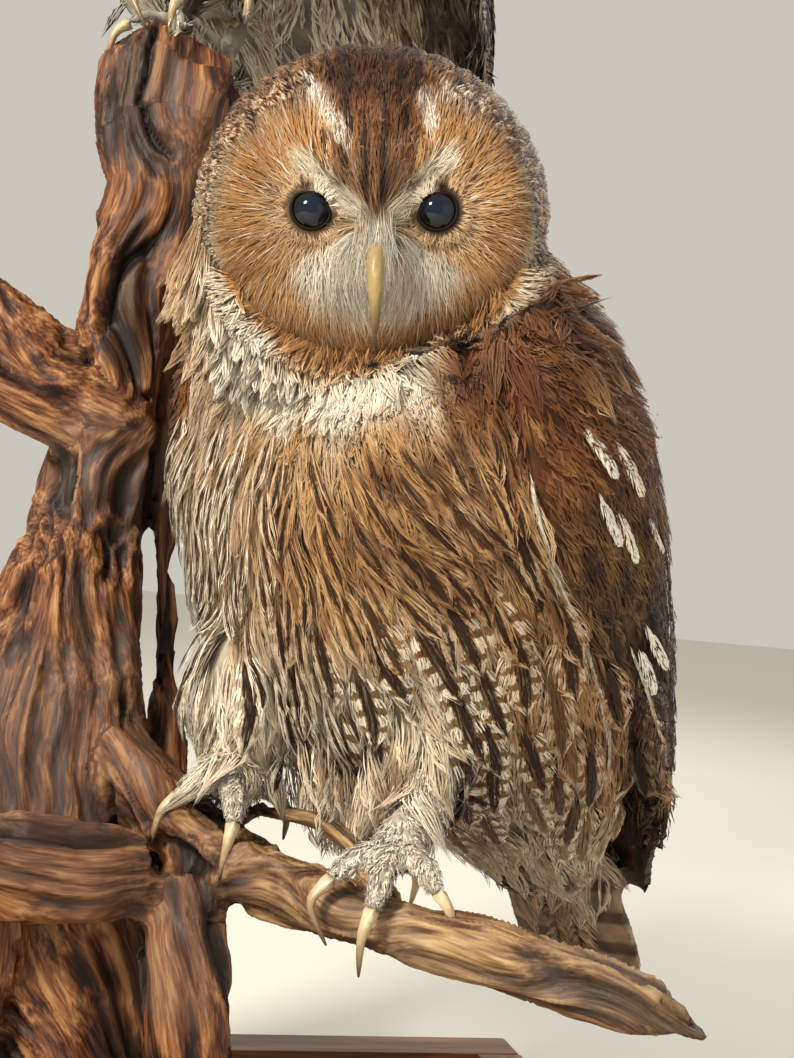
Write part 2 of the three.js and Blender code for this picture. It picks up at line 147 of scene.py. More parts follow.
def new_material(name, **surface):
    """A material with one Principled shader, whose plain values are given by name."""
    made = bpy.data.materials.new(name)
    made.use_nodes = True
    tree = made.node_tree
    shader = tree.nodes["Principled BSDF"]
    for socket, value in surface.items():
        shader.inputs[socket.replace("_", " ")].default_value = value
    return made, tree, shader


# %% Floor and light
bpy.ops.object.select_all(action="DESELECT")
bpy.ops.mesh.primitive_plane_add(size=8, location=(0, 0, -0.2 * MM))  # a little below the tray's faces
floor = bpy.context.object
floor.name = "floor"
paper, _, _ = new_material("matt_paper_floor", Base_Color=linear("#e2dfd5"), Roughness=0.9)
floor.data.materials.append(paper)

surround = bpy.data.worlds.new("pale_surround")
scene.world = surround
surround.use_nodes = True
background = surround.node_tree.nodes["Background"]
background.inputs["Color"].default_value = linear("#f0ebdf")
background.inputs["Strength"].default_value = 0.68


def soft_light(name, size, power, place, aim, colour):
    """A square soft box of `size` metres and `power` watts at `place`, facing `aim`. Both are metres in
    the specimen's frame."""
    light = bpy.data.lights.new(name, "AREA")
    light.size = size
    light.energy = power
    light.color = linear(colour)[:3]
    holder = bpy.data.objects.new(name, light)
    scene.collection.objects.link(holder)
    start, end = (outside(np.array(p) / MM, SPECIMEN) for p in (place, aim))
    holder.location = start
    direction = np.array(end) - np.array(start)
    holder.rotation_mode = "QUATERNION"
    holder.rotation_quaternion = Vector(direction).to_track_quat("-Z", "Y")


soft_light("key", 0.34, 42, (-0.75, -1.15, 1.25), (0.1, 0, 0.28), "#fff4e2")
soft_light("fill", 1.6, 3, (1.5, -1.0, 0.6), (0.1, 0, 0.25), "#f6f4f0")
soft_light("rim", 0.8, 12, (0.9, 1.1, 1.3), (0.1, 0, 0.3), "#ffffff")

scene.view_settings.view_transform = "Standard"

# %% [markdown]
# ## Small tools for meshes
# Thousands of feathers are too many to model by hand, so their points come from arrays. These helpers
# turn arrays into meshes, keep the selection clean for operators, and smooth values over a mesh.

# %% Mesh helpers


def unit(vectors):
    """Vectors at a length of 1."""
    return vectors / np.maximum(np.linalg.norm(vectors, axis=-1, keepdims=True), 1e-9)


def smooth_step(low, high, value):
    """0 up to `low` and 1 from `high` on, smooth between them; the other way round where `low` is more."""
    share = np.clip((np.asarray(value, float) - low) / (high - low), 0, 1)
    return share * share * (3 - 2 * share)


def select_only(piece):
    bpy.ops.object.select_all(action="DESELECT")
    piece.select_set(True)
    bpy.context.view_layer.objects.active = piece


def new_piece(name, points, faces, material=None, smooth=True):
    """A mesh object from points in metres and an array of faces, all triangles or all quads."""
    mesh = bpy.data.meshes.new(name)
    sides = faces.shape[1]
    mesh.vertices.add(len(points))
    mesh.vertices.foreach_set("co", np.ascontiguousarray(points, np.float32).ravel())
    mesh.loops.add(faces.size)
    mesh.loops.foreach_set("vertex_index", np.ascontiguousarray(faces, np.int32).ravel())
    mesh.polygons.add(len(faces))
    mesh.polygons.foreach_set("loop_start", np.arange(0, faces.size, sides, dtype=np.int32))
    mesh.polygons.foreach_set("use_smooth", np.full(len(faces), smooth))
    mesh.update(calc_edges=True)
    piece = bpy.data.objects.new(name, mesh)
    scene.collection.objects.link(piece)
    if material:
        mesh.materials.append(material)
    return piece


def move_points(piece, points):
    """Gives the points of a mesh new places, in metres."""
    piece.data.vertices.foreach_set("co", points.astype(np.float32).ravel())
    piece.data.update()


def set_values(piece, **values):
    """Stores a number or a place for each point of a mesh under each name."""
    for name, numbers in values.items():
        kind, field = ("FLOAT_VECTOR", "vector") if np.ndim(numbers) == 2 else ("FLOAT", "value")
        layer = piece.data.attributes.new(name, kind, "POINT")
        layer.data.foreach_set(field, np.ascontiguousarray(numbers, np.float32).ravel())


def mesh_arrays(mesh):
    """The points, point normals and triangles of a mesh as arrays."""
    points = np.empty(len(mesh.vertices) * 3, np.float32)
    mesh.vertices.foreach_get("co", points)
    normals = np.empty(len(mesh.vertices) * 3, np.float32)
    mesh.vertex_normals.foreach_get("vector", normals)
    mesh.calc_loop_triangles()
    corners = np.empty(len(mesh.loop_triangles) * 3, np.int32)
    mesh.loop_triangles.foreach_get("vertices", corners)
    return points.reshape(-1, 3).astype(float), normals.reshape(-1, 3).astype(float), corners.reshape(-1, 3)


def evened(values, mesh, rounds):
    """Values on the points of a mesh, each averaged with its neighbours a number of times."""
    edges = np.empty(len(mesh.edges) * 2, np.int32)
    mesh.edges.foreach_get("vertices", edges)
    one, other = edges.reshape(-1, 2).T
    ends = np.concatenate([one, other])
    count = np.bincount(ends, minlength=len(values)) + 1.0
    for _ in range(rounds):
        sums = np.bincount(ends, values[np.concatenate([other, one])], len(values))
        values = (values + sums) / count
    return values


def apply_modifier(piece, kind, **settings):
    select_only(piece)
    modifier = piece.modifiers.new(kind.lower(), kind)
    for name, value in settings.items():
        setattr(modifier, name, value)
    bpy.ops.object.modifier_apply(modifier=modifier.name)


def merged_copy(names, swell=0.0):
    """The points and triangles of CAD nodes with their doubles merged, grown outwards by `swell` mm,
    and the number in `names` that each triangle comes from."""
    all_points, all_faces, owner, start = [], [], [], 0
    for number, name in enumerate(names):
        points, _, corners = mesh_arrays(nodes[name].data)
        points, kept = np.unique(np.round(points, 6), axis=0, return_inverse=True)
        corners = kept.reshape(-1)[corners]
        a, b, c = corners.T
        corners = corners[(a != b) & (b != c) & (a != c)]
        a, b, c = points[corners.T]
        across = np.cross(b - a, c - a)
        normals = np.zeros_like(points)
        for k in range(3):
            np.add.at(normals, corners[:, k], across)
        all_points.append(points + unit(normals) * swell * MM)
        all_faces.append(corners + start)
        owner.append(np.full(len(corners), number))
        start += len(points)
    return np.concatenate(all_points), np.concatenate(all_faces), np.concatenate(owner)


# %% [markdown]
# ## The skin
# A mounted skin is one piece from bill to toes. The flesh solids are copied, swollen a little so that
# their gaps close, and remeshed as one surface, which is then drawn in by the depth of the coat at each
# place. What grows on it ends near the surface of the solids.

# %% One skin from the flesh solids
PARTS = {
    "head": 4.0, "neck": 6.5, "trunk": 7.0, "wing_left": 3.6, "wing_right": 3.6, "tail": 2.6,
    "leg_left": 3.6, "leg_right": 3.6, "foot_left": 1.3, "foot_right": 1.3,
}  # the depth of the coat over each solid, mm
FLESH, COAT_DEPTH = list(PARTS), list(PARTS.values())
FACE_DEPTH = 2.4  # mm, over the facial disc
SWELL = 0.5  # mm, which closes the gaps between the solids
IS_HEAD, IS_NECK, IS_TRUNK, IS_TAIL = (FLESH.index(name) for name in ("head", "neck", "trunk", "tail"))
SIDES = ("left", "right")
IS_WING, IS_LEG, IS_FOOT = (
    tuple(FLESH.index(f"{limb}_{side}") for side in SIDES) for limb in ("wing", "leg", "foot")
)
PALMS = dict(zip(IS_FOOT, ((122, -50, 154), (60, -16, 163))))  # middles of the feet, in the specimen's frame


class Bird:
    """The skin of one bird, remeshed with cells of `voxel` mm: its points, normals and triangles, the part
    that each point is of, the frames of its head and body, and the middle of each foot."""

    def __init__(self, name, names, voxel, shift, palms):
        points, faces, _ = merged_copy(names, SWELL)
        self.skin = new_piece(name, points, faces)
        apply_modifier(self.skin, "REMESH", mode="VOXEL", voxel_size=voxel * MM, use_smooth_shade=True)
        apply_modifier(self.skin, "SMOOTH", factor=0.5, iterations=5)
        self.head = (HEAD[0] + shift, HEAD[1])
        self.body = (BODY[0] + shift, BODY[1])
        self.stand = (SPECIMEN[0] + shift, SPECIMEN[1])
        self.palms = palms
        self.points, self.normals, self.triangles = mesh_arrays(self.skin.data)
        nearest = [part_tree.find_nearest(point)[2] for point in (self.points - shift * MM).tolist()]
        self.region = part_owner[nearest]
        self.draw_in()
        self.tree = BVHTree.FromPolygons(self.points.tolist(), self.triangles.tolist())

    def draw_in(self):
        """Moves the skin in by the depth of the coat at each place."""
        depth = evened(np.array(COAT_DEPTH)[self.region] + SWELL, self.skin.data, 14)
        x, y, z = inside(self.points, self.head).T
        face = smooth_step(-20, -34, y) * smooth_step(62, 52, np.hypot(x, z + 8))
        depth = depth * (1 - face) + (FACE_DEPTH + SWELL) * face
        self.points = self.points - self.normals * depth[:, None] * MM
        move_points(self.skin, self.points)
        self.points, self.normals, self.triangles = mesh_arrays(self.skin.data)

    def nearest(self, points):
        """The nearest places on the skin, with their smooth normals and the parts that they lie on."""
        found = [self.tree.find_nearest(point) for point in np.asarray(points).tolist()]
        corners = self.triangles[[f[2] for f in found]]
        return np.array([f[0] for f in found]), unit(self.normals[corners].sum(1)), self.region[corners[:, 0]]

    def places(self):
        """For tests of where feathers grow: head, body and specimen places of each point, and its part."""
        return SimpleNamespace(
            head=inside(self.points, self.head),
            body=inside(self.points, self.body),
            part=self.region,
            high=inside(self.points, self.stand)[:, 2],
        )


part_points, part_faces, part_owner = merged_copy(FLESH, SWELL)
part_tree = BVHTree.FromPolygons(part_points.tolist(), part_faces.tolist())
owl = Bird("skin", FLESH, 2.0, np.zeros(3), PALMS)
print("skin:", len(owl.points), "points,", len(owl.triangles), "triangles")


# %% [markdown]
# ## The lie of the coat
# Feathers lie away from the bill: out from each eye over the facial disc, back over the crown, down the
# nape, and down the leaning body. On the wings they turn back a little, and on the toes they run to the
# claws. One function gives that direction at any place.

# %% Direction of the feathers
EYES = np.array([[21.6, -31.5, -4.6], [-21.6, -31.5, -4.6]])
BILL_BASE = np.array([0, -44, -9])
DISC = {"low": -11, "half_width": 57, "half_height": 49}


def disc_rim(local):
    """0 at the middle of the facial disc and 1 on its rim, for places in the head's frame."""
    return np.hypot(local[:, 0] / DISC["half_width"], (local[:, 2] - DISC["low"]) / DISC["half_height"])


# Each line of the face: its two ends, across and up in the head's frame, and its half width, mm.
STRIPES = [((-23, 41), (-10.5, 18), 3.6), ((17, 35), (20.5, 24), 3.0), ((25, 39), (36, 34), 3.4)]
BROWS = [((-4, -8), (-25, 12), 5.0), ((6, -8), (25, 13), 5.2)]


def near_line(x, z, start, end, width):
    """1 on a line between two places and 0 from `width` away."""
    (ax, az), (bx, bz) = start, end
    share = np.clip(((x - ax) * (bx - ax) + (z - az) * (bz - az)) / ((bx - ax) ** 2 + (bz - az) ** 2), 0, 1)
    far = np.hypot(x - ax - share * (bx - ax), z - az - share * (bz - az))
    return smooth_step(width, width * 0.45, far)


def wedge_half(z):
    """Half the width of the dark wedge that runs from the crown to the bill, at a height on the head."""
    return np.minimum(14.5, 0.95 * (z + 10.5))


def head_flow(local):
    """The lie of the feathers in the head's frame."""
    x, y, z = local.T
    side = (x < 0).astype(int)
    from_eye = local - EYES[side]
    from_eye[:, 1] = 0
    from_bill = local - BILL_BASE
    from_bill[:, 1] = 0
    near_bill = np.exp(-((np.hypot(x, (z + 14) * 0.8) / 15) ** 2))[:, None]
    disc = unit(from_eye) * (1 - near_bill) + unit(from_bill) * near_bill
    wedge = smooth_step(2, -2, np.abs(x) - wedge_half(z))[:, None]
    upward = np.stack([0.02 * x, np.zeros_like(x), np.ones_like(x)], 1)
    disc = disc * (1 - wedge) + upward * wedge
    brow = np.maximum.reduce([near_line(x, z, *line) for line in BROWS])[:, None]
    outward = np.stack([np.sign(x) * 0.75, 0 * x, 0 * x + 0.66], 1)
    disc = unit(disc * (1 - 0.85 * brow) + outward * 0.85 * brow)
    crown = np.stack([x, y + 62, z + 4], 1)
    crown = unit(crown) + np.stack([0 * x, 0 * x, -1.3 * smooth_step(-6, 48, y)], 1)
    hang = smooth_step(6, -20, z)[:, None]
    crown = unit(crown) * (1 - hang) + unit(np.stack([0.012 * x, 0 * x - 0.12, 0 * x - 1], 1)) * hang
    front = (smooth_step(1.04, 0.96, disc_rim(local)) * smooth_step(-14, -24, y))[:, None]
    return unit(disc) * front + unit(crown) * (1 - front)


def body_flow(local, area):
    """The lie of the feathers in the body's frame."""
    x, y, z = local.T
    wide = np.maximum(np.hypot(x, y), 1)
    flow = np.stack([0.16 * x / wide, 0.16 * y / wide, -np.ones_like(x)], 1)
    swirl = np.exp(-(((x - 38) / 34) ** 2 + ((z - 48) / 40) ** 2)) * (y < -20)
    flow[:, 0] += 0.75 * swirl
    wing = np.isin(area, IS_WING)
    flow[wing] = np.stack([0 * x, 0.3 * smooth_step(34, 0, y), -np.ones_like(x)], 1)[wing]
    flow[area == IS_TAIL] = (0, 0.04, -1)
    return unit(flow)


def flow_at(bird, points, area):
    """The lie of the coat at places on the skin, as directions in the model's frame."""
    head = inside(points, bird.head)
    body = inside(points, bird.body)
    far = np.linalg.norm(head, axis=1)
    on_head = smooth_step(72, 62, far) * np.isin(area, (IS_HEAD, IS_NECK))
    over_head, over_body = head_flow(head) @ HEAD[1].T, body_flow(body, area) @ BODY[1].T
    flow = over_head * on_head[:, None] + over_body * (1 - on_head[:, None])
    down = np.array([0, 0, -1.0])
    flow[np.isin(area, IS_LEG)] = down
    for number, palm in bird.palms.items():
        mine = area == number
        away = points[mine] - outside(palm, SPECIMEN)
        flow[mine] = unit(away) + 0.5 * down
    return unit(flow)


def along_skin(flow, normal):
    """Directions laid flat on the skin."""
    return unit(flow - (flow * normal).sum(1, keepdims=True) * normal)


# %% [markdown]
# ## How a feather is made
# A feather is a shaft with fine locks of barbs along both sides. The shaft is walked over the skin
# along the lie of the coat, rising a little towards its tip so that it overlies the next one. Each lock
# is a closed sliver: a root, one or two flat three-sided rings, and a tip. Its points are given as a
# share of the feather's length and of its half width, so markings such as shaft streaks and bars can be
# drawn on the same two numbers. Its shading normals lean towards the feather's own surface, so that a
# feather is lit as one soft vane and not as separate needles.

# %% Roots of feathers
TRIES = 5  # random places tried for each square of the spacing


def wanted_where(bird, area):
    """A weight for each point of the skin, from a test on its places."""
    return area(bird.places()).astype(float)


def scatter(bird, count, area, seed):
    """A number of random places on the skin where the test `area` allows them."""
    rng = np.random.default_rng(seed)
    wanted = wanted_where(bird, area)
    a, b, c = (bird.points[bird.triangles[:, k]] for k in range(3))
    size = np.linalg.norm(np.cross(b - a, c - a), axis=1)
    chance = size * wanted[bird.triangles].mean(1)
    picked = rng.choice(len(size), count, p=chance / chance.sum())
    s, t = rng.random((2, count))
    flip = s + t > 1
    s[flip], t[flip] = 1 - s[flip], 1 - t[flip]
    s, t = s[:, None], t[:, None]
    return a[picked] * (1 - s - t) + b[picked] * s + c[picked] * t


def spread(bird, spacing, area, seed):
    """Places where the test `area` allows them that keep at least `spacing` mm from each other."""
    a, b, c = (bird.points[bird.triangles[:, k]] for k in range(3))
    size = np.linalg.norm(np.cross(b - a, c - a), axis=1) / 2
    covered = (size * wanted_where(bird, area)[bird.triangles].mean(1)).sum() / MM**2
    tries = scatter(bird, int(TRIES * covered / spacing**2) + 10, area, seed)
    cell = spacing * MM
    taken, kept = {}, []
    for number, (point, key) in enumerate(zip(tries, np.floor(tries / cell).astype(int).tolist())):
        near = [
            tries[other]
            for i in (-1, 0, 1)
            for j in (-1, 0, 1)
            for k in (-1, 0, 1)
            for other in taken.get((key[0] + i, key[1] + j, key[2] + k), ())
        ]
        if near and np.min(np.sum((np.array(near) - point) ** 2, 1)) < cell**2:
            continue
        taken.setdefault(tuple(key), []).append(number)
        kept.append(number)
    return tries[kept]


# %% Shafts and locks


def free_shafts(roots, heading, normal, length, steps, rng, stray):
    """Straight shafts of `length` mm that stand free of the skin: stations, normals and side directions.
    They differ in direction by `stray` degrees."""
    side = unit(np.cross(heading, normal))
    heading = unit(heading + side * np.radians(rng.normal(0, stray, len(roots)))[:, None])
    along = np.linspace(0, 1, steps + 1)[None, :, None] * (length * MM)[:, None, None]
    same = np.ones((1, steps + 1, 1))
    return roots[:, None] + heading[:, None] * along, normal[:, None] * same, side[:, None] * same


def lay_shafts(bird, roots, length, steps, stiff, rng, stray):
    """Shafts of `length` mm walked over the skin: their stations, normals and side directions."""
    at, normal, area = bird.nearest(roots)
    heading = along_skin(flow_at(bird, at, area), normal)
    turn = np.radians(rng.normal(0, stray, len(at)))[:, None]
    heading = heading * np.cos(turn) + np.cross(normal, heading) * np.sin(turn)
    line, up, side = [at], [normal], [np.cross(heading, normal)]
    for _ in range(steps):
        ahead = line[-1] + heading * (length / steps * MM)[:, None]
        at, normal, area = bird.nearest(ahead)
        proud = np.maximum(((ahead - at) * normal).sum(1), 0)
        line.append(at + normal * (stiff * proud)[:, None])
        heading = along_skin(unit(heading * 2 + flow_at(bird, at, area)), normal)
        up.append(normal)
        side.append(np.cross(heading, normal))
    return np.stack(line, 1), np.stack(up, 1), np.stack(side, 1)


def between(stations, share):
    """Values at shares of the way along rows of stations."""
    steps = stations.shape[1] - 1
    place = np.clip(share, 0, 1.2) * steps
    first = np.minimum(place.astype(int), steps - 1)
    part = (place - first)[..., None]
    row = np.arange(len(stations))[:, None]
    return stations[row, first] * (1 - part) + stations[row, first + 1] * part


WIDEST, TAPER = 0.55, 0.47  # shares of the length: where a feather is widest, and how long its tip is
ROOT_WIDTH = 0.45  # of its full width


def feather_outline(share, point):
    """Half width at a share of the length: narrow at the root, widest past the middle; `point` sharpens."""
    tip = np.clip(1 - np.clip((share - WIDEST) / TAPER, 0, 1) ** 2, 0, 1) ** (0.5 * point)
    root = ROOT_WIDTH + 0.55 * np.sin(np.clip(share / WIDEST, 0, 1) * np.pi / 2)
    return np.where(share < WIDEST, root, tip)


RING_SHARES = {1: [0.42], 2: [0.3, 0.68]}  # where the rings of a lock lie along it
STRANDS = 3.0  # barbs that a lock is drawn with, side by side
CLUMPS = 7  # bunches that the locks of a feather gather in, side by side
# A kind gives its feathers' length and half width, its number of locks, the half width of a `lock`, and
# the heights of the root and the tip as `lift`, in mm. It may give a `size` for each root, and `free`
# headings and normals off the skin. This is what holds where it says nothing else.
ANY_FEATHER = dict(
    rings=1,  # rings between the root and the tip of a lock
    steps=4,  # steps that the shaft is walked in
    stray=8.0,  # how far shafts differ in direction, in degrees
    stiff=0.2,  # how straight a shaft stays where the skin falls away
    loose=0.6,  # how far barbs end short of the feather's edge
    spread=1.3,  # below 1, more of them do
    sweep=0.34,  # how far a lock runs along the feather, as a share of its length
    bare=0.12,  # share of the shaft without locks
    crowd=0.8,  # below 1, locks crowd towards the tip
    fray=0.05,  # how far locks pass the tip
    clump=0.4,  # how closely locks gather in bunches
    parted=0.0,  # how far from the shaft locks start, as a share of their reach
    bow=0.75,  # below 1, locks run outwards first
    bend=1.0,  # sideways bend of a feather, mm
    ruffle=0.25,  # how unevenly locks rise, mm
    rise=1.0,  # below 1, a feather rises early
    camber=0.25,  # how far its edges bend down
    curl=0.0,  # how far its tip curls up
    point=1.0,  # how sharp its end is
    vary=1.0,  # how much the tone of locks differs
)


def grow(bird, roots, kind, paint, seed):
    """Feathers of one kind at their roots: points, triangles, values and root places of all locks."""
    rng = np.random.default_rng(seed)
    kind = dict(ANY_FEATHER, **kind)
    count, locks, rings = len(roots), kind["locks"], kind["rings"]
    size = kind["size"](bird, roots) if "size" in kind else np.ones(count)
    length = kind["length"] * size * rng.uniform(0.85, 1.15, count)
    half = (kind["half"] * size * rng.uniform(0.88, 1.12, count))[:, None]
    steps, stray = kind["steps"], kind["stray"]
    if "free" in kind:
        line, up, side = free_shafts(roots, *kind["free"](bird, roots), length, steps, rng, stray)
    else:
        line, up, side = lay_shafts(bird, roots, length, steps, kind["stiff"], rng, stray)
    each = (count, locks)
    start = np.linspace(kind["bare"], 0.95, locks) ** kind["crowd"] + rng.normal(0, 0.015, each)
    start = np.maximum(start, 0)
    hand = np.where(np.arange(locks) % 2, 1.0, -1.0) * np.ones((count, 1))
    end = start + kind["sweep"] * (1.15 - 0.5 * start) * rng.uniform(0.8, 1.2, each)
    end = np.minimum(end, 1 + kind["fray"] * rng.random(each))
    reach = hand * (1 - kind["loose"] * rng.random(each) ** kind["spread"])
    middles = np.linspace(-1, 1, CLUMPS) + rng.normal(0, 0.08, (count, CLUMPS))
    closest = np.abs(middles[:, None] - reach[..., None]).argmin(2)
    reach = reach + kind["clump"] * (np.take_along_axis(middles, closest, 1) - reach)
    bend = rng.normal(0, kind["bend"], (count, 1))
    lift = rng.normal(0, kind["ruffle"], each)
    thick = kind["lock"] * rng.uniform(0.7, 1.3, each)
    low, high = kind["lift"]

    def place(u, w):
        """Places in metres at shares `u` of the length and `w` of the half width."""
        broad = feather_outline(u, kind["point"]) * half
        curl = kind["curl"] * np.clip(u - 0.5, 0, 1) ** 2
        rise = low + (high * size[:, None] - low) * u ** kind["rise"] + lift * u
        rise = rise - kind["camber"] * w**2 * broad + curl
        aside = w * broad + bend * u**2
        sideways, upwards = between(side, u) * aside[..., None], between(up, u) * rise[..., None]
        return between(line, u) + (sideways + upwards) * MM

    shares = [0.0] + RING_SHARES[rings] + [1.0]
    spine, marks = [], []
    parted = kind["parted"]
    for share in shares:
        u = start + (end - start) * share
        w = reach * (parted + (1 - parted) * share ** kind["bow"])
        spine.append(place(u, w))
        marks.append((u, w))
    ahead = unit(spine[-1] - spine[0])
    top = unit(between(up, (start + end) / 2))
    flat = unit(np.cross(ahead, top))
    tilt = between(side, (start + end) / 2) * (0.5 * reach)[..., None]
    stack, facing = [spine[0]], [top + tilt]
    for ring in range(1, rings + 1):
        wide = (thick * (1.0 if ring == 1 else 0.8))[..., None] * MM
        stack += [spine[ring] + flat * wide, spine[ring] + top * wide * 0.45, spine[ring] - flat * wide]
        facing += [top + tilt + 0.45 * flat, top + tilt, top + tilt - 0.45 * flat]
    stack.append(spine[-1])
    facing.append(top + tilt + 0.3 * ahead)
    points = np.stack(stack, 2).reshape(-1, 3)
    per = 2 + 3 * rings
    faces = [(0, 1, 2), (0, 2, 3), (0, 3, 1)]
    for ring in range(rings - 1):
        a, b = 1 + 3 * ring, 4 + 3 * ring
        for k in range(3):
            n = (k + 1) % 3
            faces += [(a + k, b + k, b + n), (a + k, b + n, a + n)]
    last, tip = 1 + 3 * (rings - 1), per - 1
    faces += [(tip, last + 1, last), (tip, last + 2, last + 1), (tip, last, last + 2)]
    offset = np.arange(count * locks)[:, None, None] * per
    triangles = (np.array(faces)[None] + offset).reshape(-1, 3)

    painted = [paint(u, w, place) for (u, w), place in zip(marks, spine)]
    which = [0] + [r for r in range(1, rings + 1) for _ in range(3)] + [rings + 1]
    values = {
        name: np.stack([np.broadcast_to(painted[k][name], (count, locks)) for k in which], 2).ravel()
        for name in painted[0]
    }
    values["tone"] = np.repeat(1 - kind["vary"] * rng.random(count * locks), per)
    corner_u = np.array([0.0] + [s for s in shares[1:-1] for _ in range(3)] + [1.0])
    corner_v = np.array([0.5] + [0.0, 0.5, 1.0] * rings + [0.5])
    values["strand"] = (rng.random((count * locks, 1)) * 900 + corner_v * STRANDS).ravel()
    return {
        "points": points,
        "facing": unit(np.stack(facing, 2).reshape(-1, 3)),
        "triangles": triangles,
        "values": values,  # by name, one for each point
        "roots": np.repeat(spine[0].reshape(-1, 3), per, 0),
        "corner": np.tile(np.stack([corner_u, corner_v], 1), (count * locks, 1)),
    }


# %% Coat pieces
PATCH = 0.003  # of the map: one lock's own patch


def coat_piece(name, sets, material, own):
    """Joins sets of locks as one piece of the coat. Its map unwraps the skin round the axis of the frame
    `own`: a turn about it one way and the height along it the other."""
    points, facing, corner, roots = (
        np.concatenate([one[key] for one in sets]) for key in ("points", "facing", "corner", "roots")
    )
    starts = np.cumsum([0] + [len(one["points"]) for one in sets[:-1]])
    triangles = np.concatenate([one["triangles"] + start for one, start in zip(sets, starts)])
    piece = new_piece(name, points, triangles, material)
    piece.data.normals_split_custom_set_from_vertices(facing.astype(np.float32))
    for key in sets[0]["values"]:
        set_values(piece, **{key: np.concatenate([one["values"][key] for one in sets])})
    local = inside(roots, own)
    angle = np.arctan2(local[:, 0], -local[:, 1])
    plan = np.stack([angle, local[:, 2]], 1)
    low, high = plan.min(0), plan.max(0)
    plan = 0.01 + 0.97 * (plan - low) / (high - low) + corner * PATCH
    bake = piece.data.uv_layers.new(name="OFBake")
    bake.uv.foreach_set("vector", plan[triangles.ravel()].astype(np.float32).ravel())
    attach(piece, "root")
    print(name, len(triangles), "triangles")
    return piece


# %% [markdown]
# ## Plumage as a material
# Feather keratin is matt, with a soft sheen along its edges. Its pigments are few: black-brown and
# rufous on a cream ground, and white where there is none. Each point of the skin and of the coat carries
# how dark, how warm and how pale it is, and the material mixes the pigments by those numbers, so skin
# and feathers always agree.

# %% Plumage materials


def feather_pattern(tree, value, uneven):
    """A feather's own pattern: a dark streak on its shaft, bars across it and white between the bars.
    Gives how strong the mark, its darkness and the white are."""
    maths, ramp = "Math", "MapRange"
    smooth = dict(interpolation_type="SMOOTHSTEP")
    turns = add_node(tree, maths, (uneven, 0.7, value["along"]), operation="MULTIPLY_ADD")
    phase = add_node(tree, maths, (turns, 2 * math.pi), operation="MULTIPLY")
    wave = add_node(tree, maths, (phase,), operation="COSINE")
    crest = add_node(tree, ramp, {"Value": wave, "From Min": 0.0, "From Max": 0.7}, **smooth)
    barred = add_node(tree, maths, (crest, value["bar"]), operation="MULTIPLY")
    inner = add_node(tree, ramp, {"Value": value["aside"], "From Min": 1.05, "From Max": 0.55}, **smooth)
    bars = add_node(tree, maths, (barred, inner), operation="MULTIPLY")
    width = add_node(tree, maths, (uneven, 0.2, value["aside"]), operation="MULTIPLY_ADD")
    middle = add_node(tree, ramp, {"Value": width, "From Min": 0.46, "From Max": 0.32}, **smooth)
    shaft = add_node(tree, maths, (middle, value["streak"]), operation="MULTIPLY")
    mark = add_node(tree, maths, (bars, shaft), operation="MAXIMUM")
    lighter_bars = add_node(tree, maths, (bars, 0.72), operation="MULTIPLY")
    depth = add_node(tree, maths, (lighter_bars, shaft), operation="MAXIMUM")
    clear = add_node(tree, maths, (1.0, mark), operation="SUBTRACT", use_clamp=True)
    white = add_node(tree, maths, (value["gap"], clear), operation="MULTIPLY")
    return mark, depth, white


FLECK = 2.2  # mm, the size of the flecks that break up a feather's colour


